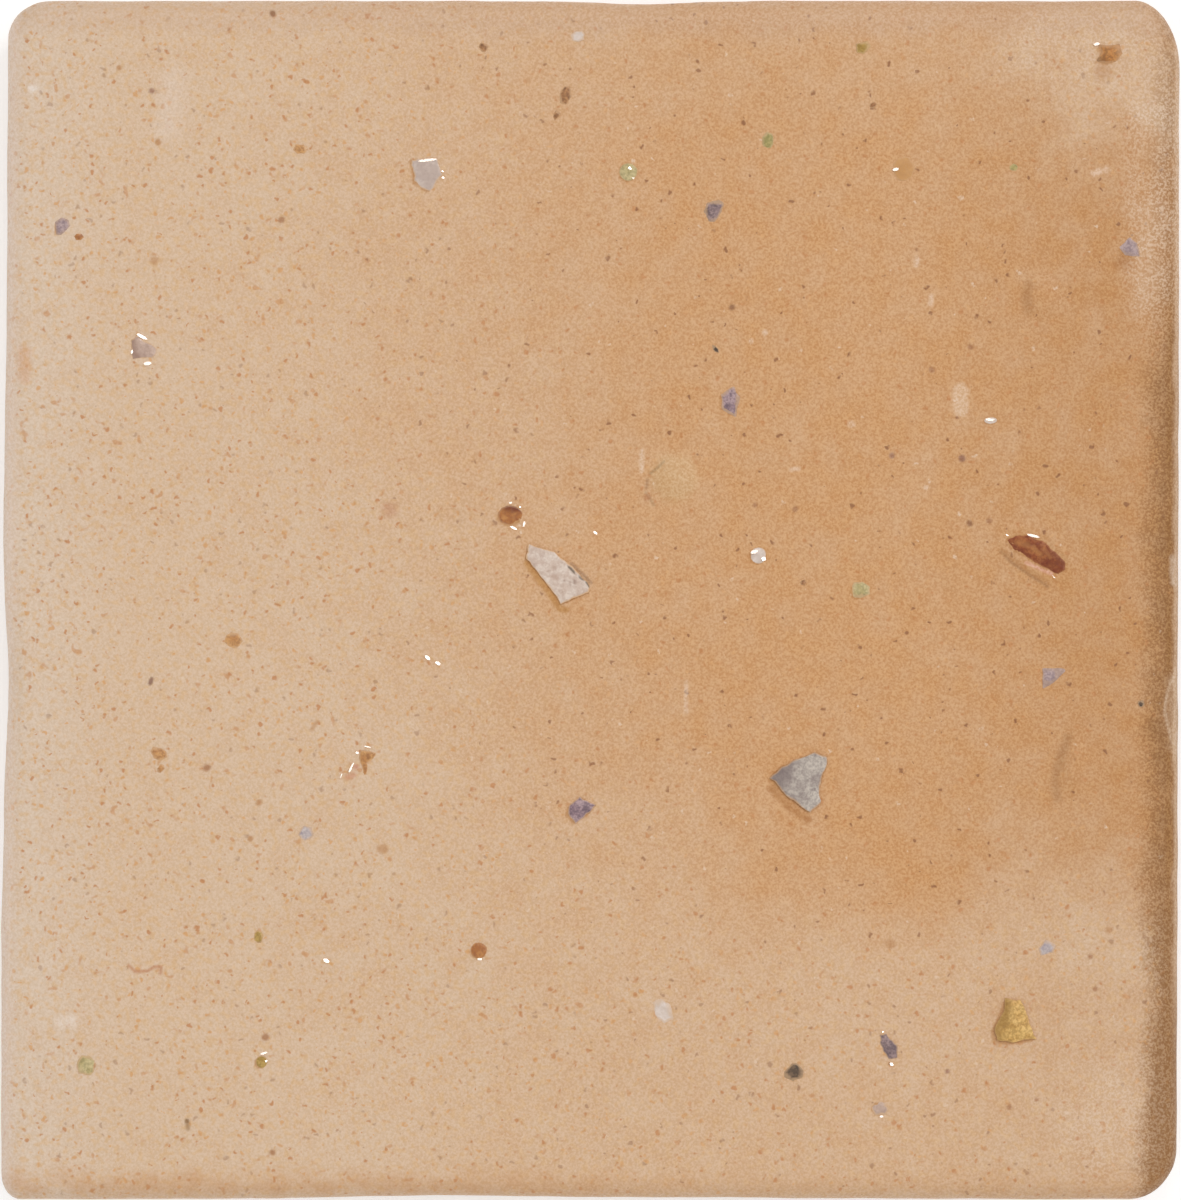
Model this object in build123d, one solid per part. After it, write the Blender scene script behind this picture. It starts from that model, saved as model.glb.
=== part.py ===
from build123d import *

import math
import os
from dataclasses import dataclass

# A hand-pressed terracotta field tile: one fired piece with a cushioned, slightly wavy face.
# +Z points up out of the face, +X to the right and +Y to the back. The origin is the centre
# of the flat bed, so the tile lies face up on it. All sizes are in millimetres.

# Overall sizes of the tile.
TILE_WIDTH = 149.5
TILE_LENGTH = 152.0
TILE_THICKNESS = 16.0

# The sides lean in from the shoulder to the bed, so that the faces of two laid tiles come close.
SIDE_TAPER = 0.6
SHOULDER_DEPTH = 6.0
BED_ARRIS = 0.6

# The face rolls over into the sides, as a pressed lump of clay does in its mould.
EDGE_ROLL = 2.6

# Each corner was rounded by hand: its radius, then how far the side before it leans in.
FRONT_LEFT_RADIUS = 3.4
FRONT_RIGHT_RADIUS = 6.4
BACK_RIGHT_RADIUS = 7.0
BACK_LEFT_RADIUS = 5.0
FRONT_RIGHT_LEAN = 0.4
BACK_LEFT_LEAN = 0.8

# Dents of the four sides: the share of the way along the side, anticlockwise, and the depth.
FRONT_DENTS = [(0.35, 0.4)]
RIGHT_DENTS = [(0.55, 0.05)]
BACK_DENTS = [(0.45, 0.4)]
LEFT_DENTS = [(0.42, -0.2), (0.57, 0.4), (0.8, 0.0)]

# The face is a little crowned, with a slow hand-pressed wave across it.
FACE_CROWN = 0.5
FACE_WAVE = 0.15
FACE_WAVE_LENGTH = 62.0
FACE_GRID = 9
FACE_MARGIN = 6.0

# Stone chips fired into the face: how deep they root, and how much smaller their crest is.
CHIP_ROOT = 1.5
CHIP_CREST_SHARE = 0.88

# Clay that shrank away from a chip leaves a shallow pit round it.
PIT_DEPTH = 0.5
PIT_SIDE_SLOPE = 30.0

# Low swellings over pebbles that stay under the skin.
SWELLING_RISE = 0.35
PEBBLE_HALF_HEIGHT = 2.0


@dataclass
class Chip:
    """A stone chip in the face.

    Its place is a share of the half width and half length. It stands proud of the face, and a
    pit of some width may lie round it. Its outline is drawn round its own centre.
    """

    place: tuple
    proud: float
    pit: float
    outline: list


@dataclass
class Swelling:
    """A low swelling of the face: its place, its width and length, and its turn in degrees."""

    place: tuple
    width: float
    length: float
    turn: float


PALE_FLINT = Chip(
    place=(-0.05, 0.04),
    proud=0.5,
    pit=0.0,
    outline=[(-3.8, 4.2), (-3.9, 2.3), (-1.4, -0.5), (0.5, -3.3), (4.2, -1.5), (1.5, 1.5), (-0.9, 3.4)],
)
SLATE_WEDGE = Chip(
    place=(0.36, -0.3),
    proud=0.5,
    pit=0.0,
    outline=[(-3.7, 0.2), (1.1, -3.9), (2.5, -2.7), (2.4, -1.0), (3.5, 3.0), (1.4, 3.4), (-1.6, 2.2)],
)
RUST_CHIP = Chip(
    place=(0.75, 0.08),
    proud=0.2,
    pit=1.0,
    outline=[(-3.8, 1.9), (-1.7, -0.5), (0.6, -1.2), (2.9, -2.6), (3.8, -0.9), (1.1, 1.4), (-0.8, 2.3)],
)
OCHRE_PEBBLE = Chip(
    place=(0.72, -0.7),
    proud=0.7,
    pit=0.0,
    outline=[(-1.1, 3.0), (-2.5, -0.9), (-1.1, -2.5), (2.8, -1.9), (0.9, 3.0)],
)
MILKY_QUARTZ = Chip(
    place=(-0.28, 0.71),
    proud=0.2,
    pit=0.6,
    outline=[(-1.9, 1.5), (-1.5, -1.1), (0.2, -2.4), (1.1, -1.8), (1.8, -0.4), (1.3, 1.7)],
)
SMOKY_QUARTZ = Chip(
    place=(-0.76, 0.42),
    proud=0.2,
    pit=0.7,
    outline=[(-1.6, 0.9), (-1.2, -1.2), (1.3, -1.4), (2.1, 0.2), (-0.5, 1.8)],
)
CHIPS = [PALE_FLINT, SLATE_WEDGE, RUST_CHIP, OCHRE_PEBBLE, MILKY_QUARTZ, SMOKY_QUARTZ]

CENTRE_SWELLING = Swelling(place=(0.14, 0.2), width=6.0, length=5.6, turn=0.0)
BACK_SWELLING = Swelling(place=(0.77, 0.5), width=5.4, length=6.2, turn=20.0)
SIDE_SWELLING = Swelling(place=(0.82, -0.27), width=4.2, length=8.0, turn=-8.0)
SWELLINGS = [CENTRE_SWELLING, BACK_SWELLING, SIDE_SWELLING]


def nearest_axis(vector):
    """The axis direction nearest to a vector, so that sides meet their corner arcs smoothly."""
    if abs(vector.X) > abs(vector.Y):
        return Vector(math.copysign(1, vector.X), 0)
    return Vector(0, math.copysign(1, vector.Y))


def wavy_side(start, end, dents):
    """One side of the outline: a smooth line from start to end, pushed in at its dents."""
    along = end - start
    heading = nearest_axis(along)
    inward = Vector(-heading.Y, heading.X)
    points = [start + along * share + inward * depth for share, depth in dents]
    return Spline([start, *points, end], tangents=[heading, heading])


def outline(inset):
    """The tile's outline as a face, drawn anticlockwise and moved in by inset all round."""
    half_width = TILE_WIDTH / 2 - inset
    half_length = TILE_LENGTH / 2 - inset
    corners = [
        (Vector(-half_width, -half_length), Vector(0, -1), FRONT_LEFT_RADIUS),
        (Vector(half_width - FRONT_RIGHT_LEAN, -half_length), Vector(1, 0), FRONT_RIGHT_RADIUS),
        (Vector(half_width, half_length), Vector(0, 1), BACK_RIGHT_RADIUS),
        (Vector(-half_width + BACK_LEFT_LEAN, half_length), Vector(-1, 0), BACK_LEFT_RADIUS),
    ]
    arcs = []
    for tip, heading, radius in corners:
        bend = radius - inset
        arcs.append(JernArc(tip - heading * bend, heading, bend, 90))
    sides = []
    for index, dents in enumerate([FRONT_DENTS, RIGHT_DENTS, BACK_DENTS, LEFT_DENTS]):
        start = arcs[index] @ 1
        end = arcs[(index + 1) % len(arcs)] @ 0
        sides.append(wavy_side(start, end, dents))
    return make_face(arcs + sides)


def face_height(x, y):
    """Height of the face above the bed: a low crown with a slow wave on it."""
    crown = FACE_CROWN / 2 * ((2 * x / TILE_WIDTH) ** 2 + (2 * y / TILE_LENGTH) ** 2)
    turn = 2 * math.pi / FACE_WAVE_LENGTH
    wave = math.cos(turn * (x + 0.4 * y)) * math.cos(turn * (y - 0.3 * x))
    return TILE_THICKNESS - crown + FACE_WAVE * wave


def face_point(across, along):
    """The point of the face at shares of the half width and half length."""
    x = across * TILE_WIDTH / 2
    y = along * TILE_LENGTH / 2
    return Vector(x, y, face_height(x, y))


def waste_above_face():
    """The block above the crowned face, which is struck off the pressed clay."""
    reach = 1 + 2 * FACE_MARGIN / TILE_WIDTH
    shares = [reach * (2 * index / (FACE_GRID - 1) - 1) for index in range(FACE_GRID)]
    points = [[face_point(across, along) for along in shares] for across in shares]
    skin = Face.make_surface_from_array_of_points(points)
    return extrude(skin, amount=TILE_THICKNESS, dir=(0, 0, 1))


def clay_body():
    """The pressed body: a softened bed, sides that lean out to the shoulder, and a rolled face."""
    sections = [
        outline(SIDE_TAPER + BED_ARRIS),
        Pos(0, 0, BED_ARRIS) * outline(SIDE_TAPER),
        Pos(0, 0, TILE_THICKNESS - SHOULDER_DEPTH) * outline(0),
        Pos(0, 0, TILE_THICKNESS + FACE_CROWN + FACE_WAVE) * outline(0),
    ]
    body = loft(sections, ruled=True) - waste_above_face()
    return fillet(body.faces().sort_by(Axis.Z)[-1].edges(), EDGE_ROLL)


def chip_plan(chip):
    """A chip's outline as a flat face round its own centre."""
    return make_face(Polyline(*chip.outline, close=True))


def chip_pit(chip):
    """The hollow round a chip: its outline made wider by the pit, with sides that flare upward."""
    floor = offset(chip_plan(chip), chip.pit, kind=Kind.ARC)
    hollow = extrude(floor, 2 * PIT_DEPTH, dir=(0, 0, 1), taper=-PIT_SIDE_SLOPE)
    return Pos(face_point(*chip.place) - Vector(0, 0, PIT_DEPTH)) * hollow


def chip_stone(chip):
    """A chip as a block: straight from its root to the face, then drawn in to its proud crest."""
    plan = chip_plan(chip)
    crest = scale(plan, by=CHIP_CREST_SHARE)
    stone = loft([Pos(0, 0, -CHIP_ROOT) * plan, plan, Pos(0, 0, chip.proud) * crest], ruled=True)
    return Pos(face_point(*chip.place)) * stone


def pebble_swelling(swelling):
    """A buried pebble, sunk until only its crest lifts the face over the swelling's width and length."""
    sunk = PEBBLE_HALF_HEIGHT - SWELLING_RISE
    share_at_face = math.sqrt(1 - (sunk / PEBBLE_HALF_HEIGHT) ** 2)
    half_width = swelling.width / 2 / share_at_face
    half_length = swelling.length / 2 / share_at_face
    pebble = scale(Rot(90, 0, 0) * Sphere(1), by=(half_width, half_length, PEBBLE_HALF_HEIGHT))
    return Pos(face_point(*swelling.place) - Vector(0, 0, sunk)) * Rot(0, 0, swelling.turn) * pebble


def field_tile():
    """The whole fired tile as one solid, with its origin at the centre of the bed."""
    body = clay_body()
    for chip in CHIPS:
        if chip.pit > 0:
            body -= chip_pit(chip)
        body += chip_stone(chip)
    for swelling in SWELLINGS:
        body += pebble_swelling(swelling)
    box = body.bounding_box()
    return Pos(-box.center().X, -box.center().Y, -box.min.Z) * body


os.makedirs("parts", exist_ok=True)
export_step(field_tile(), "parts/tile.step")
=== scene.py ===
"""The looks of a hand-pressed terracotta field tile, lying face up under soft studio light.

Sizes are in millimetres on the tile, with the origin at the centre of its bed, and are turned
into metres when they are laid into a mesh or a node. Places on the face are (x, y): x to the
right and y to the back.
"""

import logging
import math
import random
from dataclasses import dataclass, field
from enum import Enum
from functools import cached_property

import bpy
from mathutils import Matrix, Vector, noise

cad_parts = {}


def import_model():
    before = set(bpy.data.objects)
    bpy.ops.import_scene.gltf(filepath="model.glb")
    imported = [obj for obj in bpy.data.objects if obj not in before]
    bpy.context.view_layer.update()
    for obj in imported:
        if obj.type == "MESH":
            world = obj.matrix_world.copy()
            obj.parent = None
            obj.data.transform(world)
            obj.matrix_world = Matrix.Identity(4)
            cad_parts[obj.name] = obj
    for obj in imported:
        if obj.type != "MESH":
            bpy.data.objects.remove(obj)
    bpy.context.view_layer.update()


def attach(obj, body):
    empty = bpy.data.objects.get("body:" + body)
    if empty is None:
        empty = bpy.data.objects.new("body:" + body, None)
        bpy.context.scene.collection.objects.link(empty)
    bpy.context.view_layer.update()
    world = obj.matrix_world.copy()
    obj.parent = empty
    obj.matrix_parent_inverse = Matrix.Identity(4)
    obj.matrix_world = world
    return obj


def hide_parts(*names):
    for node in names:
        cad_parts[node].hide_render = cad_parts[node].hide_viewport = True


MM = 0.001

Place = tuple[float, float]
Colour = tuple[int, int, int]
Outline = list[Place]
Tint = tuple[float, float, float, float]

log = logging.getLogger("field_tile")


def linear(colour: Colour) -> Tint:
    """The scene-linear colour of an 8-bit display colour."""
    shares = [channel / 255 for channel in colour]
    return (*[s / 12.92 if s <= 0.04045 else ((s + 0.055) / 1.055) ** 2.4 for s in shares], 1.0)


def smooth_step(low: float, high: float, value: float) -> float:
    """A smooth rise from 0 at low to 1 at high."""
    share = min(1.0, max(0.0, (value - low) / (high - low)))
    return share * share * (3 - 2 * share)


def ripple(x: float, y: float, wavelength: float, layer: float) -> float:
    """Smooth noise between -1 and 1 whose bumps are about a wavelength apart."""
    return noise.noise(Vector((x / wavelength, y / wavelength, layer)))


def bell(value: float, centre: float, width: float) -> float:
    """A bell curve of height 1 round a centre."""
    return math.exp(-(((value - centre) / width) ** 2))


# Hand tools: short calls for the steps that the pieces share.


def start_fresh() -> None:
    """Leave edit mode and deselect everything, so that an operator touches only its own piece."""
    if bpy.context.object and bpy.context.object.mode != "OBJECT":
        bpy.ops.object.mode_set(mode="OBJECT")
    bpy.ops.object.select_all(action="DESELECT")


def edit_all(piece: bpy.types.Object) -> None:
    """Open a piece in edit mode with all of it selected.

    Args:
        piece: The piece to work on.
    """
    start_fresh()
    bpy.context.view_layer.objects.active = piece
    piece.select_set(True)
    bpy.ops.object.mode_set(mode="EDIT")
    bpy.ops.mesh.select_all(action="SELECT")


def close_edit() -> None:
    """Go back to object mode."""
    bpy.ops.object.mode_set(mode="OBJECT")


def settle(piece: bpy.types.Object, name: str) -> bpy.types.Object:
    """Apply a piece's place, turn and scale to its mesh, and name it.

    Args:
        piece: The piece as it was modelled.
        name: The name to give to the piece and its mesh.

    Returns:
        The same piece, with its object at the origin.
    """
    start_fresh()
    bpy.context.view_layer.objects.active = piece
    piece.select_set(True)
    bpy.ops.object.transform_apply(location=True, rotation=True, scale=True)
    piece.name = name
    piece.data.name = name
    return piece


def deliver(piece: bpy.types.Object, finish: bpy.types.Material) -> None:
    """Give a piece its finish and hand it to the frame.

    Args:
        piece: The finished piece.
        finish: The material that covers all of it.
    """
    piece.data.materials.clear()
    piece.data.materials.append(finish)
    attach(piece, "root")
    log.info("%s: %d faces", piece.name, len(piece.data.polygons))


# Relief of the face.


@dataclass(frozen=True)
class Swelling:
    """A low dome, or a dent where its rise is negative, with an oval foot."""

    place: Place
    width: float
    length: float
    turn: float
    rise: float
    crest: float = 0.25
    foot: float = 1.15

    def height(self, x: float, y: float) -> float:
        """How much the swelling lifts the face at a place.

        Args:
            x: The place to the right.
            y: The place to the back.

        Returns:
            The lift, which is negative in a dent.
        """
        dx, dy = x - self.place[0], y - self.place[1]
        if max(abs(dx), abs(dy)) > max(self.width, self.length):
            return 0.0
        cos, sin = math.cos(math.radians(self.turn)), math.sin(math.radians(self.turn))
        across = (dx * cos + dy * sin) / (self.width / 2)
        along = (dy * cos - dx * sin) / (self.length / 2)
        reach = math.hypot(across, along)
        return self.rise * (1 - smooth_step(self.crest, self.foot, reach))


@dataclass(frozen=True)
class Ripple:
    """One scale of hand-pressed unevenness."""

    wavelength: float
    rise: float
    layer: float


@dataclass
class FaceRelief:
    """The height of the clay face above the bed, before the edge rolls over."""

    width: float = 149.5
    length: float = 152.0
    thickness: float = 16.0
    crown: float = 0.5
    wave: float = 0.15
    wave_length: float = 62.0
    ripples: tuple[Ripple, ...] = (
        Ripple(17.0, 0.07, 3.1),
        Ripple(6.5, 0.05, 7.7),
        Ripple(2.6, 0.03, 1.4),
    )
    swellings: tuple[Swelling, ...] = (
        Swelling((10.6, 15.3), 6.2, 5.8, 0.0, 0.5),
        Swelling((57.2, 38.2), 4.8, 6.0, 20.0, 0.4),
        Swelling((61.2, -21.0), 3.6, 7.8, -8.0, 0.4),
        Swelling((-18.4, 25.9), 3.4, 2.8, 30.0, -0.2),
        Swelling((-18.2, 25.2), 6.2, 5.2, 30.0, 0.2),
        Swelling((-17.4, 9.6), 2.6, 4.2, -35.0, -0.25),
        Swelling((44.6, 1.2), 2.4, 2.4, 0.0, -0.25),
        Swelling((57.6, 27.6), 3.0, 3.0, 0.0, 0.15),
        Swelling((12.4, -36.4), 2.0, 7.0, -50.0, -0.14),
        Swelling((31.0, -35.4), 2.0, 6.0, -55.0, -0.12),
        Swelling((44.0, -29.0), 3.0, 9.0, -30.0, -0.12),
    )

    def height(self, x: float, y: float) -> float:
        """The face's height at a place.

        Args:
            x: The place to the right.
            y: The place to the back.

        Returns:
            The height above the bed.
        """
        crown = self.crown / 2 * ((2 * x / self.width) ** 2 + (2 * y / self.length) ** 2)
        turn = 2 * math.pi / self.wave_length
        wave = math.cos(turn * (x + 0.4 * y)) * math.cos(turn * (y - 0.3 * x))
        level = self.thickness - crown + self.wave * wave
        level += sum(r.rise * ripple(x, y, r.wavelength, r.layer) for r in self.ripples)
        return level + sum(s.height(x, y) for s in self.swellings)


# Strokes of colour.


@dataclass(frozen=True)
class Stroke:
    """A stroke of colour on the clay: the stained spot, smear, painted shade, painted shadow or painted
    highlight of one place.

    It follows a path with a width and covers the clay by its strength. A softness of 0 gives it
    a hard border.
    """

    colour: Colour
    path: tuple[Place, ...]
    width: float
    strength: float
    soft: float = 0.7

    @cached_property
    def tint(self) -> Tint:
        """The scene-linear colour."""
        return linear(self.colour)

    @cached_property
    def box(self) -> tuple[float, float, float, float]:
        """The box that the stroke may reach.

        Returns:
            The least x and y, then the most x and y.
        """
        margin = self.width * (1 + self.soft) / 2 + 0.3
        across, along = [x for x, _ in self.path], [y for _, y in self.path]
        return min(across) - margin, min(along) - margin, max(across) + margin, max(along) + margin

    def touches(self, x: float, y: float) -> bool:
        """Whether a place lies in the stroke's box."""
        return self.box[0] < x < self.box[2] and self.box[1] < y < self.box[3]

    def distance(self, x: float, y: float) -> float:
        """How far a place lies from the stroke's path.

        Args:
            x: The place to the right.
            y: The place to the back.

        Returns:
            The distance.
        """
        best = math.dist((x, y), self.path[0])
        for (ax, ay), (bx, by) in zip(self.path, self.path[1:]):
            dx, dy = bx - ax, by - ay
            share = min(1.0, max(0.0, ((x - ax) * dx + (y - ay) * dy) / (dx * dx + dy * dy)))
            best = min(best, math.dist((x, y), (ax + share * dx, ay + share * dy)))
        return best

    @classmethod
    def dot(cls, colour: Colour, place: Place, width: float, strength: float = 0.9) -> "Stroke":
        """A single grain."""
        return cls(colour, (place,), width, strength, 0.4)

    def cover(self, x: float, y: float) -> float:
        """How much of the clay the stroke covers at a place, with a ragged border.

        Args:
            x: The place to the right.
            y: The place to the back.

        Returns:
            The cover, from 0 to the stroke's strength.
        """
        stray = 0.3 * min(1.0, self.width / 2)
        moved = (x + stray * ripple(x, y, 0.9, 2.7), y + stray * ripple(x, y, 0.9, 5.9))
        reach = self.distance(*moved) / (self.width / 2)
        return self.strength * (1 - smooth_step(1 - self.soft, 1 + self.soft, reach))


def layered(layers: list[tuple[Tint, float]]) -> Tint:
    """Lay tints over each other.

    Args:
        layers: Each tint and how much it covers, from the lowest to the highest.

    Returns:
        The mixed colour times its cover, and the cover as alpha.
    """
    mixed = (0.0, 0.0, 0.0, 0.0)
    for tint, cover in layers:
        if cover > 0:
            mixed = tuple(under * (1 - cover) + over * cover for under, over in zip(mixed, tint))
    return mixed


# Stains and smears of the clay, with painted shade and shadows beside the stones and swellings, and a
# painted highlight by the rust chip.
STAINS_AND_SHADES = [
    Stroke((224, 208, 196), ((-53.6, 59.8), (-52.6, 65.6)), 2.8, 0.3, 0.9),
    Stroke((222, 192, 162), ((46.8, 24.2), (46.8, 26.4)), 2.0, 0.5, 0.3),
    Stroke((226, 196, 170), ((63.6, 53.9), (64.4, 54.3)), 0.7, 0.55),
    Stroke((226, 196, 170), ((65.2, 54.4),), 0.9, 0.5),
    Stroke((224, 206, 190), ((-66.8, -53.5), (-65.6, -53.2)), 1.4, 0.55),
    Stroke((206, 178, 150), ((74.4, -10.4), (74.1, -14.0), (74.5, -18.2)), 2.6, 0.34),
    Stroke(
        (214, 186, 158),
        ((74.2, -8.9), (73.0, -11.5), (72.6, -14.0), (73.4, -17.5), (74.4, -19.5)),
        0.35,
        0.4,
    ),
    Stroke((214, 190, 166), ((73.8, 2.2), (73.8, 5.2)), 1.0, 0.45),
    Stroke((226, 200, 176), ((6.5, 16.2), (6.5, 18.8)), 0.5, 0.45),
    Stroke((226, 200, 176), ((12.1, -14.2), (12.1, -10.4)), 0.5, 0.4),
    Stroke((228, 216, 206), ((-70.5, 64.6),), 1.2, 0.6),
    Stroke((184, 126, 90), ((-25.4, 11.4),), 2.0, 0.5),
    Stroke(
        (186, 128, 88),
        ((-58.4, -46.2), (-57.6, -47.0), (-56.0, -46.9), (-55.2, -46.4), (-54.3, -46.4), (-54.4, -47.2)),
        0.4,
        0.75,
        0.6,
    ),
    Stroke((204, 150, 108), ((-71.6, 28.2), (-71.6, 31.4)), 1.6, 0.45),
    # Painted shadow below the orange pebble.
    Stroke((176, 122, 70), ((64.8, 66.8),), 2.2, 0.5),
    Stroke((206, 174, 128), ((10.6, 15.5),), 6.0, 0.4, 0.25),
    # Painted shade with a brown tint on the left side of the buried pebble's swelling, away from the lights.
    Stroke((148, 118, 78), ((9.3, 17.5), (7.6, 16.0)), 0.35, 0.5),
    Stroke((150, 108, 72), ((7.2, 15.2), (7.1, 14.2)), 0.35, 0.5),
    Stroke((148, 118, 78), ((7.0, 13.6), (8.0, 12.0)), 0.35, 0.4),
    Stroke((168, 104, 60), ((7.1, 13.0),), 0.8, 0.6),
    # Painted shade with a brown tint down the left side of the long swelling, away from the lights.
    Stroke((160, 112, 66), ((60.4, -17.4), (59.3, -20.0), (58.8, -22.5), (59.0, -25.0)), 1.1, 0.5, 0.9),
    # Painted shade with a brown tint on the left side of the swelling near the right edge.
    Stroke((166, 116, 68), ((55.3, 36.6), (55.0, 38.4), (55.4, 39.8)), 1.2, 0.45, 0.9),
    # Painted shadow below the lilac grain by the right edge.
    Stroke((166, 110, 56), ((67.4, 42.6),), 1.9, 0.55),
    # Painted shadow along the flint's lower-left edge, away from the lights, tinted golden like pooled
    # sealer.
    Stroke(
        (182, 128, 62),
        ((-8.1, 4.6), (-6.5, 2.5), (-5.2, 0.9), (-3.9, -1.1), (-3.2, -1.2)),
        0.8,
        0.75,
        0.5,
    ),
    # Painted shade where the lip round the rust chip falls away from the lights: a thin dark line.
    Stroke((134, 92, 54), ((51.9, 6.1), (53.4, 4.6), (55.5, 3.2), (57.8, 1.7)), 0.35, 0.55),
    Stroke((136, 96, 66), ((-2.4, 4.6), (0.1, 2.2)), 0.35, 0.6),
    # Painted shadow below the slate wedge, away from the lights.
    Stroke((172, 116, 60), ((22.8, -23.8), (24.8, -26.0), (27.5, -27.8)), 0.9, 0.7),
    # Painted shade along the lower-left side of the rust chip, where its lip falls away from the lights.
    Stroke((174, 122, 70), ((52.0, 6.1), (55.2, 3.8), (57.9, 2.0)), 0.7, 0.5),
    # Painted dim highlight on the lip below the rust chip.
    Stroke((218, 164, 142), ((55.1, 4.7), (58.3, 3.3)), 0.4, 0.7),
    Stroke((186, 110, 80), ((-29.6, -21.1),), 0.7, 0.65),
    Stroke((196, 134, 100), ((-30.7, -22.4), (-30.0, -22.1)), 0.7, 0.65),
]

DARK_GRAIN = (142, 96, 60)
BROWN_GRAIN = (166, 116, 76)
PLUM_GRAIN = (156, 112, 86)
GOLD_GRAIN = (184, 134, 86)
PALE_GRAIN = (228, 202, 178)

GRAIN_MARKS = [
    Stroke.dot(DARK_GRAIN, (-40.2, 74.2), 0.8),
    Stroke.dot(PLUM_GRAIN, (-55.5, 64.4), 0.7),
    Stroke.dot(GOLD_GRAIN, (-54.7, 57.9), 0.8),
    Stroke.dot(BROWN_GRAIN, (-39.0, 48.1), 0.8),
    Stroke.dot(GOLD_GRAIN, (-55.2, 42.9), 1.1, 0.7),
    Stroke.dot(GOLD_GRAIN, (-59.6, 67.3), 0.7),
    Stroke((128, 88, 70), ((-55.5, -10.0), (-55.7, -10.5)), 0.55, 0.85, 0.4),
    Stroke.dot(BROWN_GRAIN, (-48.5, -21.2), 0.9),
    Stroke.dot(GOLD_GRAIN, (-41.9, -25.6), 0.8),
    Stroke.dot(GOLD_GRAIN, (-43.0, -30.2), 0.7),
    Stroke(GOLD_GRAIN, ((-34.6, -15.4), (-35.2, -16.4)), 0.5, 0.7),
    Stroke.dot(GOLD_GRAIN, (-26.3, -31.5), 1.3, 0.75),
    Stroke((150, 112, 68), ((-51.0, -65.8), (-50.9, -66.9)), 0.5, 0.7, 0.8),
    Stroke.dot((140, 104, 64), (-51.0, -65.9), 0.6),
    Stroke.dot(BROWN_GRAIN, (-41.1, -55.3), 0.9),
    Stroke.dot(BROWN_GRAIN, (-40.2, -69.9), 0.7),
    Stroke.dot(DARK_GRAIN, (17.9, 37.0), 0.7),
    Stroke.dot(BROWN_GRAIN, (43.2, 29.1), 0.8),
    Stroke.dot(BROWN_GRAIN, (48.0, 32.0), 0.7),
    Stroke.dot(PLUM_GRAIN, (38.1, 18.3), 0.8),
    Stroke.dot((144, 98, 74), (47.0, 17.9), 0.9),
    Stroke.dot(DARK_GRAIN, (47.9, 9.7), 0.8),
    Stroke.dot(BROWN_GRAIN, (50.4, 10.0), 0.7),
    Stroke.dot(BROWN_GRAIN, (20.8, 12.0), 0.6),
    Stroke.dot(BROWN_GRAIN, (25.9, 11.5), 0.7),
    Stroke.dot(PALE_GRAIN, (22.1, 33.8), 0.7, 0.5),
    Stroke.dot(PALE_GRAIN, (20.3, 32.7), 0.6, 0.45),
    Stroke(PALE_GRAIN, ((41.3, 43.2), (41.2, 42.4)), 0.6, 0.45),
    Stroke(PALE_GRAIN, ((43.1, 38.4), (43.0, 37.4)), 0.6, 0.45),
    Stroke.dot(PALE_GRAIN, (33.0, 22.2), 0.9, 0.35),
    Stroke(PALE_GRAIN, ((25.4, 16.5), (26.3, 16.6)), 0.5, 0.4),
    Stroke.dot(PALE_GRAIN, (42.4, 14.2), 0.6, 0.45),
    Stroke.dot(BROWN_GRAIN, (63.8, -49.2), 0.6),
    Stroke.dot(PLUM_GRAIN, (45.1, -59.6), 0.55),
    Stroke.dot(BROWN_GRAIN, (56.4, -63.2), 0.5),
    Stroke.dot(BROWN_GRAIN, (53.0, -64.1), 0.6),
    Stroke.dot(GOLD_GRAIN, (38.0, -43.5), 1.2, 0.75),
    Stroke.dot(GOLD_GRAIN, (65.6, -41.7), 0.9, 0.75),
    Stroke.dot(BROWN_GRAIN, (63.2, -45.1), 0.6),
]
STROKES = STAINS_AND_SHADES + GRAIN_MARKS

STONE_STROKES = [
    Stroke.dot((146, 110, 92), (-3.3, 2.45), 0.4, 0.6),
    Stroke.dot((150, 116, 98), (-2.7, 2.3), 0.3, 0.6),
    Stroke.dot((134, 100, 84), (-2.1, 2.4), 0.45, 0.65),
    Stroke.dot((150, 116, 98), (-2.5, 1.95), 0.3, 0.5),
    Stroke.dot((158, 122, 102), (-5.2, 3.6), 0.35, 0.45),
    Stroke.dot((158, 122, 102), (-3.6, 0.8), 0.35, 0.4),
    Stroke((172, 138, 118), ((-4.8, 3.0), (-4.2, 2.5)), 0.45, 0.4),
    Stroke((96, 82, 64), ((-2.8, 4.1), (-2.2, 3.5)), 0.35, 0.8, 0.5),
    Stroke((96, 82, 64), ((-1.5, 2.95), (-1.0, 2.6)), 0.35, 0.7, 0.5),
    Stroke((96, 82, 64), ((-0.6, 2.3), (-0.1, 1.8)), 0.35, 0.8, 0.5),
    Stroke((178, 120, 66), ((54.2, 7.3), (55.2, 7.0)), 0.8, 0.5),
    Stroke((182, 126, 72), ((55.9, 6.6), (56.9, 5.7)), 0.7, 0.5),
    Stroke((172, 114, 64), ((57.4, 6.3), (58.2, 5.4)), 0.5, 0.4),
    Stroke((112, 50, 28), ((53.0, 7.4), (54.0, 6.3), (55.3, 5.4)), 0.7, 0.4),
    Stroke((78, 84, 54), ((67.5, 43.95),), 0.5, 0.7),
    Stroke((120, 98, 72), ((64.2, 68.3),), 0.5, 0.55),
]


# Stones.


class Shape(Enum):
    """How a stone is shaped."""

    CHIP = "a flat chip, cut to its outline"
    GRAIN = "a small broken grain"
    BEAD = "a rounded grain"


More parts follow.
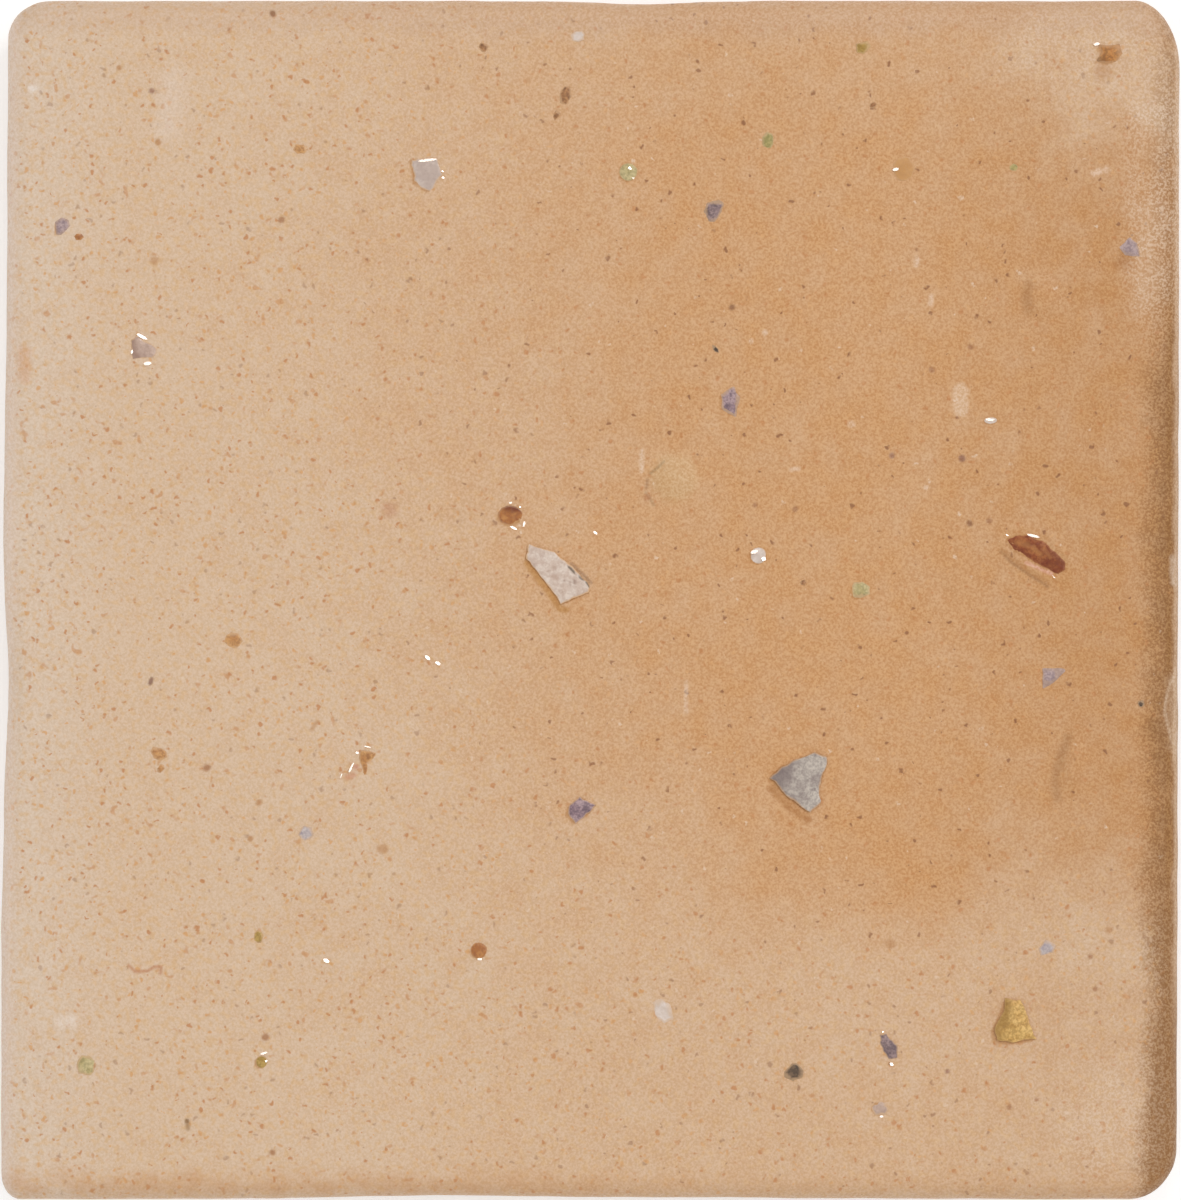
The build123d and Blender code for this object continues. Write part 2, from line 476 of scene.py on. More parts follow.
@dataclass(frozen=True)
class Stone:
    """A stone in the face.

    Its outline is drawn anticlockwise round its own centre and its crest stands proud of the
    clay. The ridge is where the crest's peak lies and how much higher it is. The clay round it
    lifts by the lip, and the shade is the width of the painted shadow, tinted golden, that the
    stone casts on the clay away from the lights. The dusk is the bearing, in degrees, towards
    which the stone darkens: painted shade on the slate, ochre, smoky and orange pebble, whose dark
    side faces away from the lights, and its own darker tone on the red bead and the rust chip.
    """

    name: str
    finish: str
    place: Place
    outline: Outline
    proud: float
    lip: float = 0.0
    shade: float = 0.0
    ridge: tuple[float, float, float] = (0.0, 0.0, 0.1)
    shape: Shape = Shape.CHIP
    shade_and_dark_tone: float | None = None

    def reach(self, angle: float) -> float:
        """The distance from the centre to the outline in a direction.

        Args:
            angle: The direction, in radians.

        Returns:
            The distance.
        """
        ahead_x, ahead_y = math.cos(angle), math.sin(angle)
        best = 0.0
        for (ax, ay), (bx, by) in zip(self.outline, self.outline[1:] + self.outline[:1]):
            side_x, side_y = bx - ax, by - ay
            cross = ahead_x * side_y - ahead_y * side_x
            if abs(cross) < 1e-9:
                continue
            along = (ax * side_y - ay * side_x) / cross
            share = (ax * ahead_y - ay * ahead_x) / cross
            if along > 0 and -1e-6 <= share <= 1 + 1e-6:
                best = max(best, along)
        return best

    def gap(self, x: float, y: float) -> float:
        """About how far a place on the face lies outside the outline; negative is inside."""
        dx, dy = x - self.place[0], y - self.place[1]
        return math.hypot(dx, dy) - self.reach(math.atan2(dy, dx))

    @cached_property
    def span(self) -> float:
        """The largest distance from the centre to the outline."""
        return max(math.hypot(px, py) for px, py in self.outline)


def broken_outline(name: str, width: float, length: float, turn: float) -> Outline:
    """An angular outline that is never the same twice.

    Args:
        name: The stone's name, which seeds the breaks.
        width: Its size across.
        length: Its size along.
        turn: How far it is turned anticlockwise, in degrees.

    Returns:
        The outline, anticlockwise.
    """
    dice = random.Random(name)
    corners = dice.randint(5, 7)
    cos, sin = math.cos(math.radians(turn)), math.sin(math.radians(turn))
    points = []
    for index in range(corners):
        angle = 2 * math.pi * (index + dice.uniform(-0.22, 0.22)) / corners
        reach = dice.uniform(0.88, 1.1)
        px, py = reach * width / 2 * math.cos(angle), reach * length / 2 * math.sin(angle)
        points.append((px * cos - py * sin, px * sin + py * cos))
    return points


def grain(
    name: str,
    finish: str,
    place: Place,
    size: Place,
    turn: float = 0.0,
    proud: float = 0.12,
    shade: float = 0.0,
) -> Stone:
    """A small broken grain of a width and length."""
    outline = broken_outline(name, *size, turn)
    return Stone(name, finish, place, outline, proud, shade=shade, shape=Shape.GRAIN)


def bead(
    name: str,
    finish: str,
    place: Place,
    size: Place,
    proud: float = 0.15,
    shade: float = 0.0,
    shade_and_dark_tone: float | None = None,
) -> Stone:
    """A rounded grain.

    Args:
        name: The stone's name.
        finish: The name of its finish.
        place: Where its centre lies.
        size: Its width and length.
        proud: How far it stands out of the clay.
        shade: The width of the painted shadow beside it.
        shade_and_dark_tone: The bearing towards which it darkens, in degrees.

    Returns:
        The stone.
    """
    angles = [2 * math.pi * index / 16 for index in range(16)]
    outline = [(size[0] / 2 * math.cos(angle), size[1] / 2 * math.sin(angle)) for angle in angles]
    return Stone(name, finish, place, outline, proud, shade=shade, shape=Shape.BEAD, shade_and_dark_tone=shade_and_dark_tone)


CHIPS = [
    Stone(
        "pale_flint",
        "flint",
        (-4.1, 2.8),
        [
            (-3.6, 4.3), (-4.0, 2.4), (-1.4, -0.6), (0.4, -3.3),
            (4.1, -1.7), (4.0, -1.0), (1.0, 2.2), (-0.7, 3.2),
        ],
        proud=0.25,
        shade=0.5,
        ridge=(0.6, 0.6, 0.1),
    ),
    Stone(
        "slate_wedge",
        "slate",
        (26.5, -22.8),
        [
            (-3.8, 0.4), (-1.3, -2.3), (1.3, -3.9), (2.6, -2.7), (2.3, -1.6),
            (3.5, 2.3), (3.4, 2.9), (1.8, 3.5), (-2.3, 1.8),
        ],
        proud=0.3,
        shade=0.6,
        ridge=(0.3, 0.6, 0.1),
        shade_and_dark_tone=150.0,
    ),
    Stone(
        "rust_chip",
        "rust",
        (56.3, 6.0),
        [
            (-3.8, 1.7), (-2.9, 0.4), (-1.0, -0.6), (0.7, -1.8), (2.8, -2.7),
            (3.5, -2.2), (3.7, -1.1), (0.9, 1.5), (-1.2, 2.3), (-2.6, 2.3),
        ],
        proud=0.06,
        lip=0.12,
        shade=0.4,
        ridge=(0.2, 0.2, 0.08),
        shade_and_dark_tone=-60.0,
    ),
    Stone(
        "ochre_pebble",
        "ochre",
        (53.5, -53.5),
        [
            (-1.0, 3.0), (-1.4, 1.6), (-2.5, -0.8), (-2.2, -2.2),
            (-0.4, -2.4), (2.8, -2.0), (1.4, 1.5), (0.8, 2.9),
        ],
        proud=0.3,
        shade=0.7,
        ridge=(-0.7, 0.3, 0.5),
        shade_and_dark_tone=165.0,
    ),
    Stone(
        "milky_quartz",
        "milky",
        (-20.7, 54.2),
        [(-2.0, 1.5), (-1.6, -0.3), (-1.6, -1.3), (0.3, -2.5), (1.1, -1.6), (1.9, -0.4), (1.3, 1.8)],
        proud=0.06,
        shade=0.5,
    ),
    Stone(
        "smoky_quartz",
        "smoky",
        (-56.7, 31.7),
        [(-1.4, 1.3), (-1.3, -1.3), (1.5, -1.1), (1.9, 0.0), (-0.5, 1.8)],
        proud=0.06,
        shade_and_dark_tone=190.0,
    ),
    Stone(
        "slate_grain",
        "heather",
        (-1.3, -26.4),
        [(0.0, 1.6), (-1.4, 0.4), (-1.6, -0.6), (-0.6, -1.8), (1.1, -0.6), (2.0, 0.4)],
        proud=0.15,
        shade=0.5,
        ridge=(0.1, 0.1, 0.15),
    ),
    Stone(
        "amber_flake",
        "amber",
        (-28.4, -20.0),
        [
            (-0.7, 0.8), (-0.9, 0.0), (-0.6, -0.8), (-0.4, -2.2), (0.0, -2.2),
            (0.2, -0.7), (1.0, 0.0), (1.4, 0.7), (0.3, 1.1),
        ],
        proud=0.06,
    ),
    Stone(
        "lilac_chip",
        "plum",
        (37.7, -56.4),
        [
            (-1.0, 1.5), (-1.1, 0.5), (-0.8, -0.5), (0.1, -1.6),
            (1.0, -1.4), (1.1, 0.0), (0.2, 0.8), (-0.2, 1.6),
        ],
        proud=0.1,
    ),
]

GRAINS = [
    bead("red_bead", "sienna", (-10.1, 10.7), (3.0, 2.4), 0.1, 0.4, 80.0),
    bead("amber_bead", "honey", (39.6, 54.5), (2.7, 3.0), 0.1),
    Stone(
        "orange_pebble",
        "russet",
        (65.5, 69.1),
        [
            (-1.2, 1.0), (-0.8, 0.1), (-1.4, -0.8), (-0.3, -1.2),
            (0.7, -1.0), (1.5, 0.0), (1.2, 1.1), (0.0, 0.8),
        ],
        proud=0.12,
        shade=0.6,
        shape=Shape.GRAIN,
        shade_and_dark_tone=215.0,
    ),
    grain("lilac_grain", "heather", (17.7, 25.2), (2.6, 3.7), 10.0, 0.18, 0.5),
    grain("plum_grain", "plum", (15.6, 49.2), (2.0, 2.9), -22.0, 0.15),
    grain("white_chip", "white", (-1.6, 71.3), (1.6, 1.3), 20.0, 0.08),
    grain("brown_fleck", "umber", (-13.6, 69.9), (1.1, 1.1)),
    grain("umber_flake", "umber", (-3.2, 63.8), (1.4, 2.4), -18.0),
    grain("umber_tail", "umber", (-4.3, 61.3), (0.8, 1.3), -30.0),
    grain("brown_cluster", "amber", (-36.7, 57.0), (1.6, 1.3)),
    grain("grey_lilac", "lilac", (-66.8, 47.3), (1.6, 2.2), -20.0, 0.14, 0.4),
    grain("red_fleck", "sienna", (-64.7, 45.9), (1.0, 0.9)),
    bead("green_bead", "moss", (4.8, 54.1), (2.2, 2.2), 0.2, 0.4),
    grain("green_grain", "green", (22.4, 58.0), (1.6, 2.0)),
    grain("olive_grain", "olive", (34.4, 69.9), (1.8, 1.5)),
    grain("dark_fleck", "umber", (35.7, 62.6), (0.9, 0.8)),
    grain("green_fleck", "green", (53.5, 54.7), (1.0, 0.8), 0.0, 0.03),
    Stone(
        "edge_lilac",
        "lilac",
        (68.2, 44.6),
        [(-1.1, 0.0), (-0.5, -0.9), (1.1, -1.1), (0.8, 0.5), (0.0, 1.1)],
        proud=0.12,
        shade=0.9,
        shape=Shape.GRAIN,
    ),
    bead("white_fleck", "white", (50.6, 22.7), (1.6, 0.8), 0.1, 0.3),
    bead("white_bead", "white", (21.2, 5.6), (2.0, 2.0), 0.15, 0.3),
    grain("moss_grain", "moss", (34.1, 1.3), (2.4, 2.0), 15.0, 0.15, 0.4),
    grain("black_fleck", "umber", (26.9, 2.2), (0.8, 0.7)),
    grain("brown_grain", "amber", (-45.2, -5.1), (2.2, 1.9)),
    Stone(
        "lilac_corner",
        "lilac",
        (58.2, -9.7),
        [(-0.9, 0.9), (-0.9, -1.4), (0.3, -0.6), (1.6, 0.6), (1.5, 0.9)],
        proud=0.12,
        shade=0.4,
        shape=Shape.GRAIN,
    ),
    grain("brown_wedge", "amber", (-54.6, -19.4), (1.9, 1.5), -25.0),
    grain("brown_wedge_tip", "amber", (-54.3, -21.3), (0.8, 1.1), -20.0),
    grain("grey_grain", "pearl", (-35.9, -29.5), (1.8, 1.8), 0.0, 0.08),
    bead("brown_bead", "sienna", (-14.1, -44.3), (2.0, 2.0), 0.15, 0.3),
    grain("olive_fleck", "olive", (-42.0, -42.6), (1.2, 1.5)),
    grain("moss_corner", "moss", (-63.7, -58.9), (2.3, 2.5), 20.0, 0.15, 0.3),
    bead("olive_bead", "olive", (-41.6, -58.4), (1.5, 1.5), 0.12, 0.3),
    grain("chalk_chip", "white", (9.2, -51.9), (2.1, 3.0), 35.0, 0.08),
    grain("jet_grain", "jet", (25.7, -59.7), (2.4, 1.9), 10.0, 0.15),
    grain("blue_grain", "pearl", (57.8, -44.0), (2.1, 1.7), 25.0, 0.12),
    grain("chalk_grain", "smoky", (36.6, -64.3), (2.1, 1.8), 0.0, 0.1, 0.3),
    grain("dark_sliver", "jet", (15.8, 31.7), (1.2, 0.5), -50.0, 0.06),
    grain("edge_fleck", "jet", (69.6, -13.1), (0.8, 0.8), 0.0, 0.04),
]
STONES = CHIPS + GRAINS


@dataclass
class StoneBed:
    """The stones that are fired into the face."""

    relief: FaceRelief
    stones: list[Stone] = field(default_factory=lambda: STONES)
    strokes: list[Stroke] = field(default_factory=lambda: STONE_STROKES)
    root: float = 1.2
    arris: float = 0.22
    arris_drop: float = 0.06
    rim: float = 0.45
    sunk_share: float = 0.3
    cut_allowance: float = 1.12
    chip_sway: float = 0.24
    grain_sway: float = 0.1
    chip_rise: float = 0.06
    grain_rise: float = 0.04
    chip_cuts: int = 13
    chip_angle: float = 40.0
    grain_angle: float = 35.0
    breaks: int = 4
    break_reach: Place = (0.72, 0.85)
    break_lean: Place = (0.7, 1.6)

    def knap_chip(self, stone: Stone) -> bpy.types.Object:
        """Cut a chip from a flat disc drawn to its outline, with a worn arris and a ridged crest.

        Args:
            stone: The stone to cut.

        Returns:
            The chip, seated in the face.
        """
        seat = self.relief.height(*stone.place)
        start_fresh()
        bpy.ops.mesh.primitive_circle_add(vertices=len(stone.outline), radius=1.0, fill_type="NGON")
        piece = bpy.context.object
        for vertex, (px, py) in zip(piece.data.vertices, stone.outline):
            vertex.co = Vector((stone.place[0] + px, stone.place[1] + py, seat - self.root)) * MM
        edit_all(piece)
        rise = self.root + stone.proud - self.arris_drop
        bpy.ops.mesh.extrude_region_move(TRANSFORM_OT_translate={"value": (0, 0, rise * MM)})
        bpy.ops.mesh.inset(thickness=self.arris * MM, depth=self.arris_drop * MM)
        bpy.ops.mesh.poke()
        close_edit()
        across, along, peak = stone.ridge
        tip = max(piece.data.vertices, key=lambda v: v.index)
        tip.co = Vector((stone.place[0] + across, stone.place[1] + along, seat + stone.proud + peak)) * MM
        edit_all(piece)
        bpy.ops.mesh.normals_make_consistent(inside=False)
        bpy.ops.mesh.subdivide(number_cuts=self.chip_cuts)
        close_edit()
        self.mark_points(piece, stone)
        self.roughen(piece, self.chip_rise, self.chip_sway)
        bpy.ops.object.shade_smooth_by_angle(angle=math.radians(self.chip_angle))
        return settle(piece, stone.name)

    def tumble(self, stone: Stone) -> bpy.types.Object:
        """Shape a small grain from a ball: broken ones lose their sides to a few flat cuts.

        Args:
            stone: The stone to shape.

        Returns:
            The grain, seated in the face.
        """
        dice = random.Random(stone.name)
        start_fresh()
        bpy.ops.mesh.primitive_ico_sphere_add(subdivisions=4, radius=1.0)
        piece = bpy.context.object
        if stone.shape is Shape.GRAIN:
            edit_all(piece)
            for _ in range(self.breaks):
                turn = dice.uniform(0, 2 * math.pi)
                lean = dice.uniform(*self.break_lean)
                normal = Vector((math.cos(turn), math.sin(turn), lean)).normalized()
                bpy.ops.mesh.select_all(action="SELECT")
                cut = normal * dice.uniform(*self.break_reach)
                bpy.ops.mesh.bisect(plane_co=cut, plane_no=normal, use_fill=True, clear_outer=True)
            close_edit()
        depth = stone.proud / (1 - self.sunk_share)
        seat = self.relief.height(*stone.place) + stone.proud - depth
        spread = 1 / math.sqrt(1 - self.sunk_share**2)
        if stone.shape is Shape.GRAIN:
            spread *= self.cut_allowance
        for vertex in piece.data.vertices:
            x, y, z = vertex.co
            angle = math.atan2(y, x)
            reach = spread * math.hypot(x, y) * stone.reach(angle)
            spot = (stone.place[0] + reach * math.cos(angle), stone.place[1] + reach * math.sin(angle))
            vertex.co = Vector((*spot, seat + depth * z)) * MM
        self.mark_points(piece, stone)
        self.roughen(piece, self.grain_rise, self.grain_sway * stone.span)
        bpy.context.view_layer.objects.active = piece
        bpy.ops.object.shade_smooth_by_angle(angle=math.radians(self.grain_angle))
        return settle(piece, stone.name)

    def mark_points(self, piece: bpy.types.Object, stone: Stone) -> None:
        """Note on each point how near the outline it lies, how dark its side is (painted shade on some
        stones, their own darker tone on others), and its stains.

        Args:
            piece: The stone's mesh.
            stone: The stone that it shows.
        """
        for name in ("rim", "shade_and_dark_tone"):
            piece.data.attributes.new(name, "FLOAT", "POINT")
        piece.data.attributes.new("mark", "FLOAT_COLOR", "POINT")
        rim, shade_and_dark_tone, mark = (piece.data.attributes[name].data for name in ("rim", "shade_and_dark_tone", "mark"))
        width = min(self.rim, 0.2 * stone.span)
        bearing = math.radians(stone.shade_and_dark_tone or 0.0)
        for index, vertex in enumerate(piece.data.vertices):
            x, y, _ = vertex.co / MM
            rim[index].value = smooth_step(-width, 0.0, stone.gap(x, y))
            mark[index].color = layered([(s.tint, s.cover(x, y)) for s in self.strokes if s.touches(x, y)])
            # The dark side: painted shade where the bearing points away from the lights, the stone's own
            # darker tone where it does not.
            if stone.shade_and_dark_tone is not None:
                aside, ahead = x - stone.place[0], y - stone.place[1]
                towards = (aside * math.cos(bearing) + ahead * math.sin(bearing)) / stone.reach(bearing)
                shade_and_dark_tone[index].value = smooth_step(0.1, 0.85, towards + 0.35 * ripple(x, y, 1.2, 2.2))

    def roughen(self, piece: bpy.types.Object, rise: float, sway: float) -> None:
        """Roughen a stone's skin and outline.

        Args:
            piece: The stone's mesh.
            rise: About how far the skin moves up and down.
            sway: About how far the outline moves aside.
        """
        for vertex in piece.data.vertices:
            x, y, z = vertex.co / MM
            rough = rise * (ripple(x + z, y, 1.1, 3.3) + 0.6 * ripple(x, y + z, 0.45, 7.9))
            aside_x = sway * (ripple(x, y, 1.7, 1.7) + 0.6 * ripple(x, y, 0.7, 4.1))
            aside_y = sway * (ripple(x, y, 1.7, 6.2) + 0.6 * ripple(x, y, 0.7, 9.4))
            vertex.co += Vector((aside_x, aside_y, rough)) * MM

    def build(self) -> dict[str, list[bpy.types.Object]]:
        """Shape every stone.

        Returns:
            The stones by finish.
        """
        by_finish: dict[str, list[bpy.types.Object]] = {}
        for stone in self.stones:
            piece = self.knap_chip(stone) if stone.shape is Shape.CHIP else self.tumble(stone)
            by_finish.setdefault(stone.finish, []).append(piece)
        return by_finish


# Sealer.


@dataclass(frozen=True)
class Drop:
    """A dried drop of clear sealer, with a flat that faces the studio lights.

    The turn is the direction of its length in degrees. The bearing is the direction that its
    flat leans to. A drop that sits on a stone is lifted.
    """

    place: Place
    length: float
    width: float
    turn: float
    bearing: float
    lift: float = 0.0


DROPS = [
    Drop((-20.6, 55.6), 2.4, 0.35, 7.0, 95.0),
    Drop((-18.7, 54.2), 0.28, 0.28, 0.0, 48.0),
    Drop((-18.65, 53.4), 0.32, 0.3, 0.0, 48.0),
    Drop((-56.7, 33.3), 1.5, 0.4, -27.0, 48.0),
    Drop((-57.95, 31.4), 0.6, 0.25, 72.0, 48.0),
    Drop((-56.0, 29.9), 1.0, 0.5, 8.0, 95.0),
    Drop((52.7, 8.26), 0.4, 0.3, 0.0, 48.0),
    Drop((55.95, 8.13), 1.7, 0.35, -15.0, 95.0),
    Drop((58.6, 3.05), 0.7, 0.35, -45.0, 48.0),
    Drop((59.7, 5.9), 0.25, 0.25, 0.0, 48.0),
    Drop((-28.2, -18.55), 0.9, 0.2, -12.0, 95.0),
    Drop((-29.5, -19.3), 0.35, 0.3, 0.0, 48.0),
    Drop((-30.25, -21.2), 1.5, 0.27, 64.0, 0.0),
    Drop((-31.5, -22.2), 0.7, 0.13, 65.0, 0.0),
    Drop((38.07, -58.7), 0.55, 0.35, -35.0, 48.0),
    Drop((36.97, -54.6), 0.25, 0.2, 0.0, 48.0),
    Drop((-10.1, 12.3), 0.45, 0.25, 0.0, 95.0),
    Drop((-8.9, 11.75), 0.25, 0.2, 0.0, 48.0),
    Drop((-8.4, 9.6), 0.7, 0.28, 75.0, 0.0),
    Drop((-9.7, 9.1), 0.95, 0.28, -25.0, 48.0),
    Drop((0.6, 8.5), 0.55, 0.3, -40.0, 48.0),
    Drop((38.6, 54.45), 0.8, 0.4, 15.0, 95.0, 0.08),
    Drop((64.0, 70.3), 0.8, 0.4, 10.0, 95.0),
    Drop((5.0, 54.6), 0.5, 0.4, 0.0, 48.0, 0.1),
    Drop((5.4, 53.4), 0.3, 0.25, 0.0, 48.0),
    Drop((50.5, 22.8), 1.1, 0.4, -5.0, 95.0),
    Drop((20.7, 6.1), 1.0, 0.5, 20.0, 95.0, 0.1),
    Drop((21.9, 5.2), 0.6, 0.5, 0.0, 48.0),
    Drop((-20.6, -7.3), 0.8, 0.4, -40.0, 48.0),
    Drop((-19.3, -8.0), 0.7, 0.4, -30.0, 48.0),
    Drop((-14.0, -45.4), 0.6, 0.3, 0.0, 95.0),
    Drop((-33.4, -45.6), 0.8, 0.5, -20.0, 48.0),
    Drop((-41.3, -57.3), 0.9, 0.3, 20.0, 95.0),
    Drop((-41.0, -58.3), 0.3, 0.3, 0.0, 48.0, 0.08),
    Drop((36.8, -65.3), 0.5, 0.3, 0.0, 95.0),
]


@dataclass
class SealerDrops:
    """The dried drops of sealer that catch the light, as one piece."""

    relief: FaceRelief
    drops: list[Drop] = field(default_factory=lambda: DROPS)
    lean: float = 17.0
    clear: float = 0.03
    cut_threshold: float = 1e-7
    smooth_angle: float = 25.0

    def shape_drop(self, drop: Drop) -> bpy.types.Object:
        """Flatten a ball to the drop's size, and cut its leaning flat.

        Args:
            drop: The drop to shape.

        Returns:
            The drop on the face.
        """
        start_fresh()
        bpy.ops.mesh.primitive_ico_sphere_add(subdivisions=3, radius=1.0)
        piece = bpy.context.object
        bearing, turn = math.radians(drop.bearing), math.radians(drop.turn)
        along = drop.length / 2 * math.cos(bearing - turn)
        across = drop.width / 2 * math.sin(bearing - turn)
        rise = math.tan(math.radians(self.lean)) * math.hypot(along, across) + self.clear
        level = self.relief.height(*drop.place) + drop.lift
        centre = Vector((*drop.place, level + rise)) * MM
        piece.scale = Vector((drop.length / 2, drop.width / 2, 2 * rise)) * MM
        piece.rotation_euler = (0, 0, turn)
        piece.location = centre
        settle(piece, "sealer_drop")
        lean = math.radians(self.lean)
        normal = (math.sin(lean) * math.cos(bearing), math.sin(lean) * math.sin(bearing), math.cos(lean))
        edit_all(piece)
        bpy.ops.mesh.bisect(
            plane_co=centre, plane_no=normal, use_fill=True, clear_outer=True, threshold=self.cut_threshold
        )
        close_edit()
        bpy.ops.object.shade_smooth_by_angle(angle=math.radians(self.smooth_angle))
        return piece

    def build(self) -> bpy.types.Object:
        """Shape every drop and join them.

        Returns:
            All the drops as one piece.
        """
        made = [self.shape_drop(drop) for drop in self.drops]
        start_fresh()
        for piece in made:
            piece.select_set(True)
        bpy.context.view_layer.objects.active = made[0]
        bpy.ops.object.join()
        return settle(bpy.context.object, "sealer_drops")


# Paint of the kiln and the years, with painted shade, shadows and highlights.


@dataclass(frozen=True)
class Patch:
    """An oval patch with a soft border.

    Its reach is half its width and half its length. It is full within the inner share of that
    reach and gone past the outer share.
    """

    place: Place
    reach: Place
    outer: float
    inner: float
    strength: float

    def cover(self, x: float, y: float) -> float:
        """How strong the patch is at a place."""
        across, along = (x - self.place[0]) / self.reach[0], (y - self.place[1]) / self.reach[1]
        return self.strength * smooth_step(self.outer, self.inner, math.hypot(across, along))


@dataclass
class ClayPaint:
    """What the kiln and the years painted on the clay, with painted shade, shadows and highlights.

    It is laid on the body's points as maps that the clay's finish reads: "warmth", how much the
    flame warmed the clay, "smoke" and "ash", how much of them lies on it, and "mark", the colour
    of single stains, painted shade, shadows and highlights times their cover, with the cover as
    its alpha.
    """

    half_width: float
    half_length: float
    stones: list[Stone] = field(default_factory=lambda: STONES)
    strokes: list[Stroke] = field(default_factory=lambda: STROKES)
    # The golden colour of the painted shadows that the stones cast on the clay.
    tan: Colour = (176, 122, 64)
    toast: Colour = (194, 142, 92)
    # The colour of a painted highlight on the worn arris along the right edge.
    worn: Colour = (222, 188, 154)
    bleached: Colour = (232, 208, 190)
    shaded: Colour = (192, 158, 132)
    light_x: float = 0.75
    light_y: float = 0.66
    flame_across: Place = (-58.0, 26.0)
    flame_front: Place = (-48.0, -14.0)
    flame_back: Place = (44.0, 76.0)
    pale_corner: Patch = Patch((67.0, 66.0), (12.0, 10.0), 1.5, 0.4, 0.5)
    pale_side: Patch = Patch((58.0, -40.0), (12.0, 11.0), 1.7, 0.0, 0.72)
    warm_lobe: Patch = Patch((40.0, -36.0), (9.0, 8.0), 1.5, 0.1, 0.24)
    smoke_band: Place = (68.5, 73.3)
    smoke_back: Place = (26.0, 44.0)
    smoke_front: Place = (-46.0, -58.0)
    smoke_fall: Place = (2.0, 13.0)
    ash_band: Place = (66.0, 70.0)
    ash_back: Patch = Patch((63.0, 70.0), (11.0, 7.0), 1.4, 0.4, 0.45)
    ash_front: Patch = Patch((67.0, -66.0), (8.0, 8.0), 1.5, 0.5, 0.55)
    mark_fade: Place = (3.6, 1.0)
    fold_start: float = 6.0
    fold_end: float = 0.5
    narrow: float = 2.5

    def warmth(self, x: float, y: float) -> float:
        """How much the flame warmed the clay: least at the left, most right of the centre.

        Args:
            x: The place to the right.
            y: The place to the back.

        Returns:
            The warmth, from 0 to 1.
        """
        ragged = 3.2 * (ripple(x, y, 5.0, 1.3) + 0.5 * ripple(x, y, 2.4, 6.6))
        drift_x = x + 13 * ripple(x, y, 24.0, 4.4) + ragged
        drift_y = y + 13 * ripple(x, y, 24.0, 8.2) + ragged
        across = smooth_step(*self.flame_across, drift_x)
        front = 0.42 + 0.58 * smooth_step(*self.flame_front, drift_y + 0.25 * drift_x)
        back = 1 - 0.22 * smooth_step(*self.flame_back, drift_y)
        corner = 1 - self.pale_corner.cover(drift_x, drift_y)
        side = 1 - self.pale_side.cover(drift_x, drift_y)
        lobe = self.warm_lobe.cover(x, y)
        mottle = 0.15 * ripple(x, y, 4.2, 9.7) + 0.16 * ripple(x, y, 2.1, 3.9)
        flame = 0.9 * across * front * back * corner * side
        return min(1.0, max(0.0, flame + lobe + mottle))

    def smoke(self, x: float, y: float) -> float:
        """How much smoke lies along the right edge; it thins out down the side.

        Args:
            x: The place to the right.
            y: The place to the back.

        Returns:
            The smoke, from 0 to 1.
        """
        back = smooth_step(*self.smoke_back, y)
        front = smooth_step(*self.smoke_front, y)
        reach = x + 1.1 * ripple(x, y, 9.0, 2.5) + 0.6 * ripple(x, y, 2.2, 7.1) - 1.3 * back + 0.7 * front
        down = 1 - 0.6 * smooth_step(*self.smoke_fall, x - self.half_width)
        patchy = 1 + 0.3 * ripple(x, y, 1.8, 3.6)
        most = 1 - 0.5 * back + 0.35 * front
        return min(1.0, most * smooth_step(*self.smoke_band, reach) * patchy) * down

    def ash(self, x: float, y: float) -> float:
        """How much ash clings to the clay beside the smoke, and on the two right corners.

        Args:
            x: The place to the right.
            y: The place to the back.

        Returns:
            The ash, about 0 to 1.
        """
        beside = smooth_step(*self.ash_band, x) * smooth_step(72, 60, y) * smooth_step(30, 42, y)
        most = max(beside, self.ash_back.cover(x, y), self.ash_front.cover(x, y))
        return most * (0.8 + 0.8 * ripple(x, y, 3.0, 6.1))

    def painted_shadow(self, x: float, y: float) -> float:
        """How much painted shadow lies at a place, cast by the stones away from the lights and tinted
        golden.

        Args:
            x: The place to the right.
            y: The place to the back.

        Returns:
            The painted shadow's cover, from 0 to 1.
        """
        most = 0.0
        for stone in self.stones:
            if stone.shade > 0 and math.dist((x, y), stone.place) < stone.span + stone.shade:
                # Step from the place towards the lights; where a stone is met, the place lies in its painted
                # shadow.
                for step in range(1, 9):
                    away = stone.shade * step / 8
                    if stone.gap(x + away * self.light_x, y + away * self.light_y) < 0:
                        most = max(most, smooth_step(9, 4, step))
                        break
        return most

    def mark(self, x: float, y: float) -> Tint:
        """The colour of the stains, painted shade, shadows and highlights at a place times their cover,
        and the cover.

        Args:
            x: The place to the right.
            y: The place to the back.

        Returns:
            Scene-linear red, green and blue, then the cover as alpha.
        """
        edge = self.half_length - abs(y) + 1.2 * ripple(x, y, 3.0, 5.5)
        if y < 0:
            most = (0.5 - 0.32 * smooth_step(-18, 12, x)) * (0.85 + 0.7 * ripple(x, y, 1.5, 4.6))
            toasted = most * smooth_step(4.8, 2.0, edge) * (1 - 0.5 * smooth_step(1.6, 0.5, edge))
            layers = [(linear(self.toast), toasted)]
        else:
            layers = [(linear(self.shaded), 0.3 * smooth_step(5.5, 3.0, edge))]
        left = self.half_width + x - 0.45 * (1 + y / self.half_length)
        layers.append((linear(self.bleached), 0.6 * smooth_step(2.4, 0.4, left)))
        # A painted highlight along the right edge, on its worn arris where the face rolls over.
        right = self.half_width - x - 0.19 * (1 - y / self.half_length) + 0.25 * ripple(x, y, 2.5, 8.8)
        layers.append((linear(self.worn), 0.5 * smooth_step(0.9, 0.55, right) * smooth_step(-58, -44, y)))
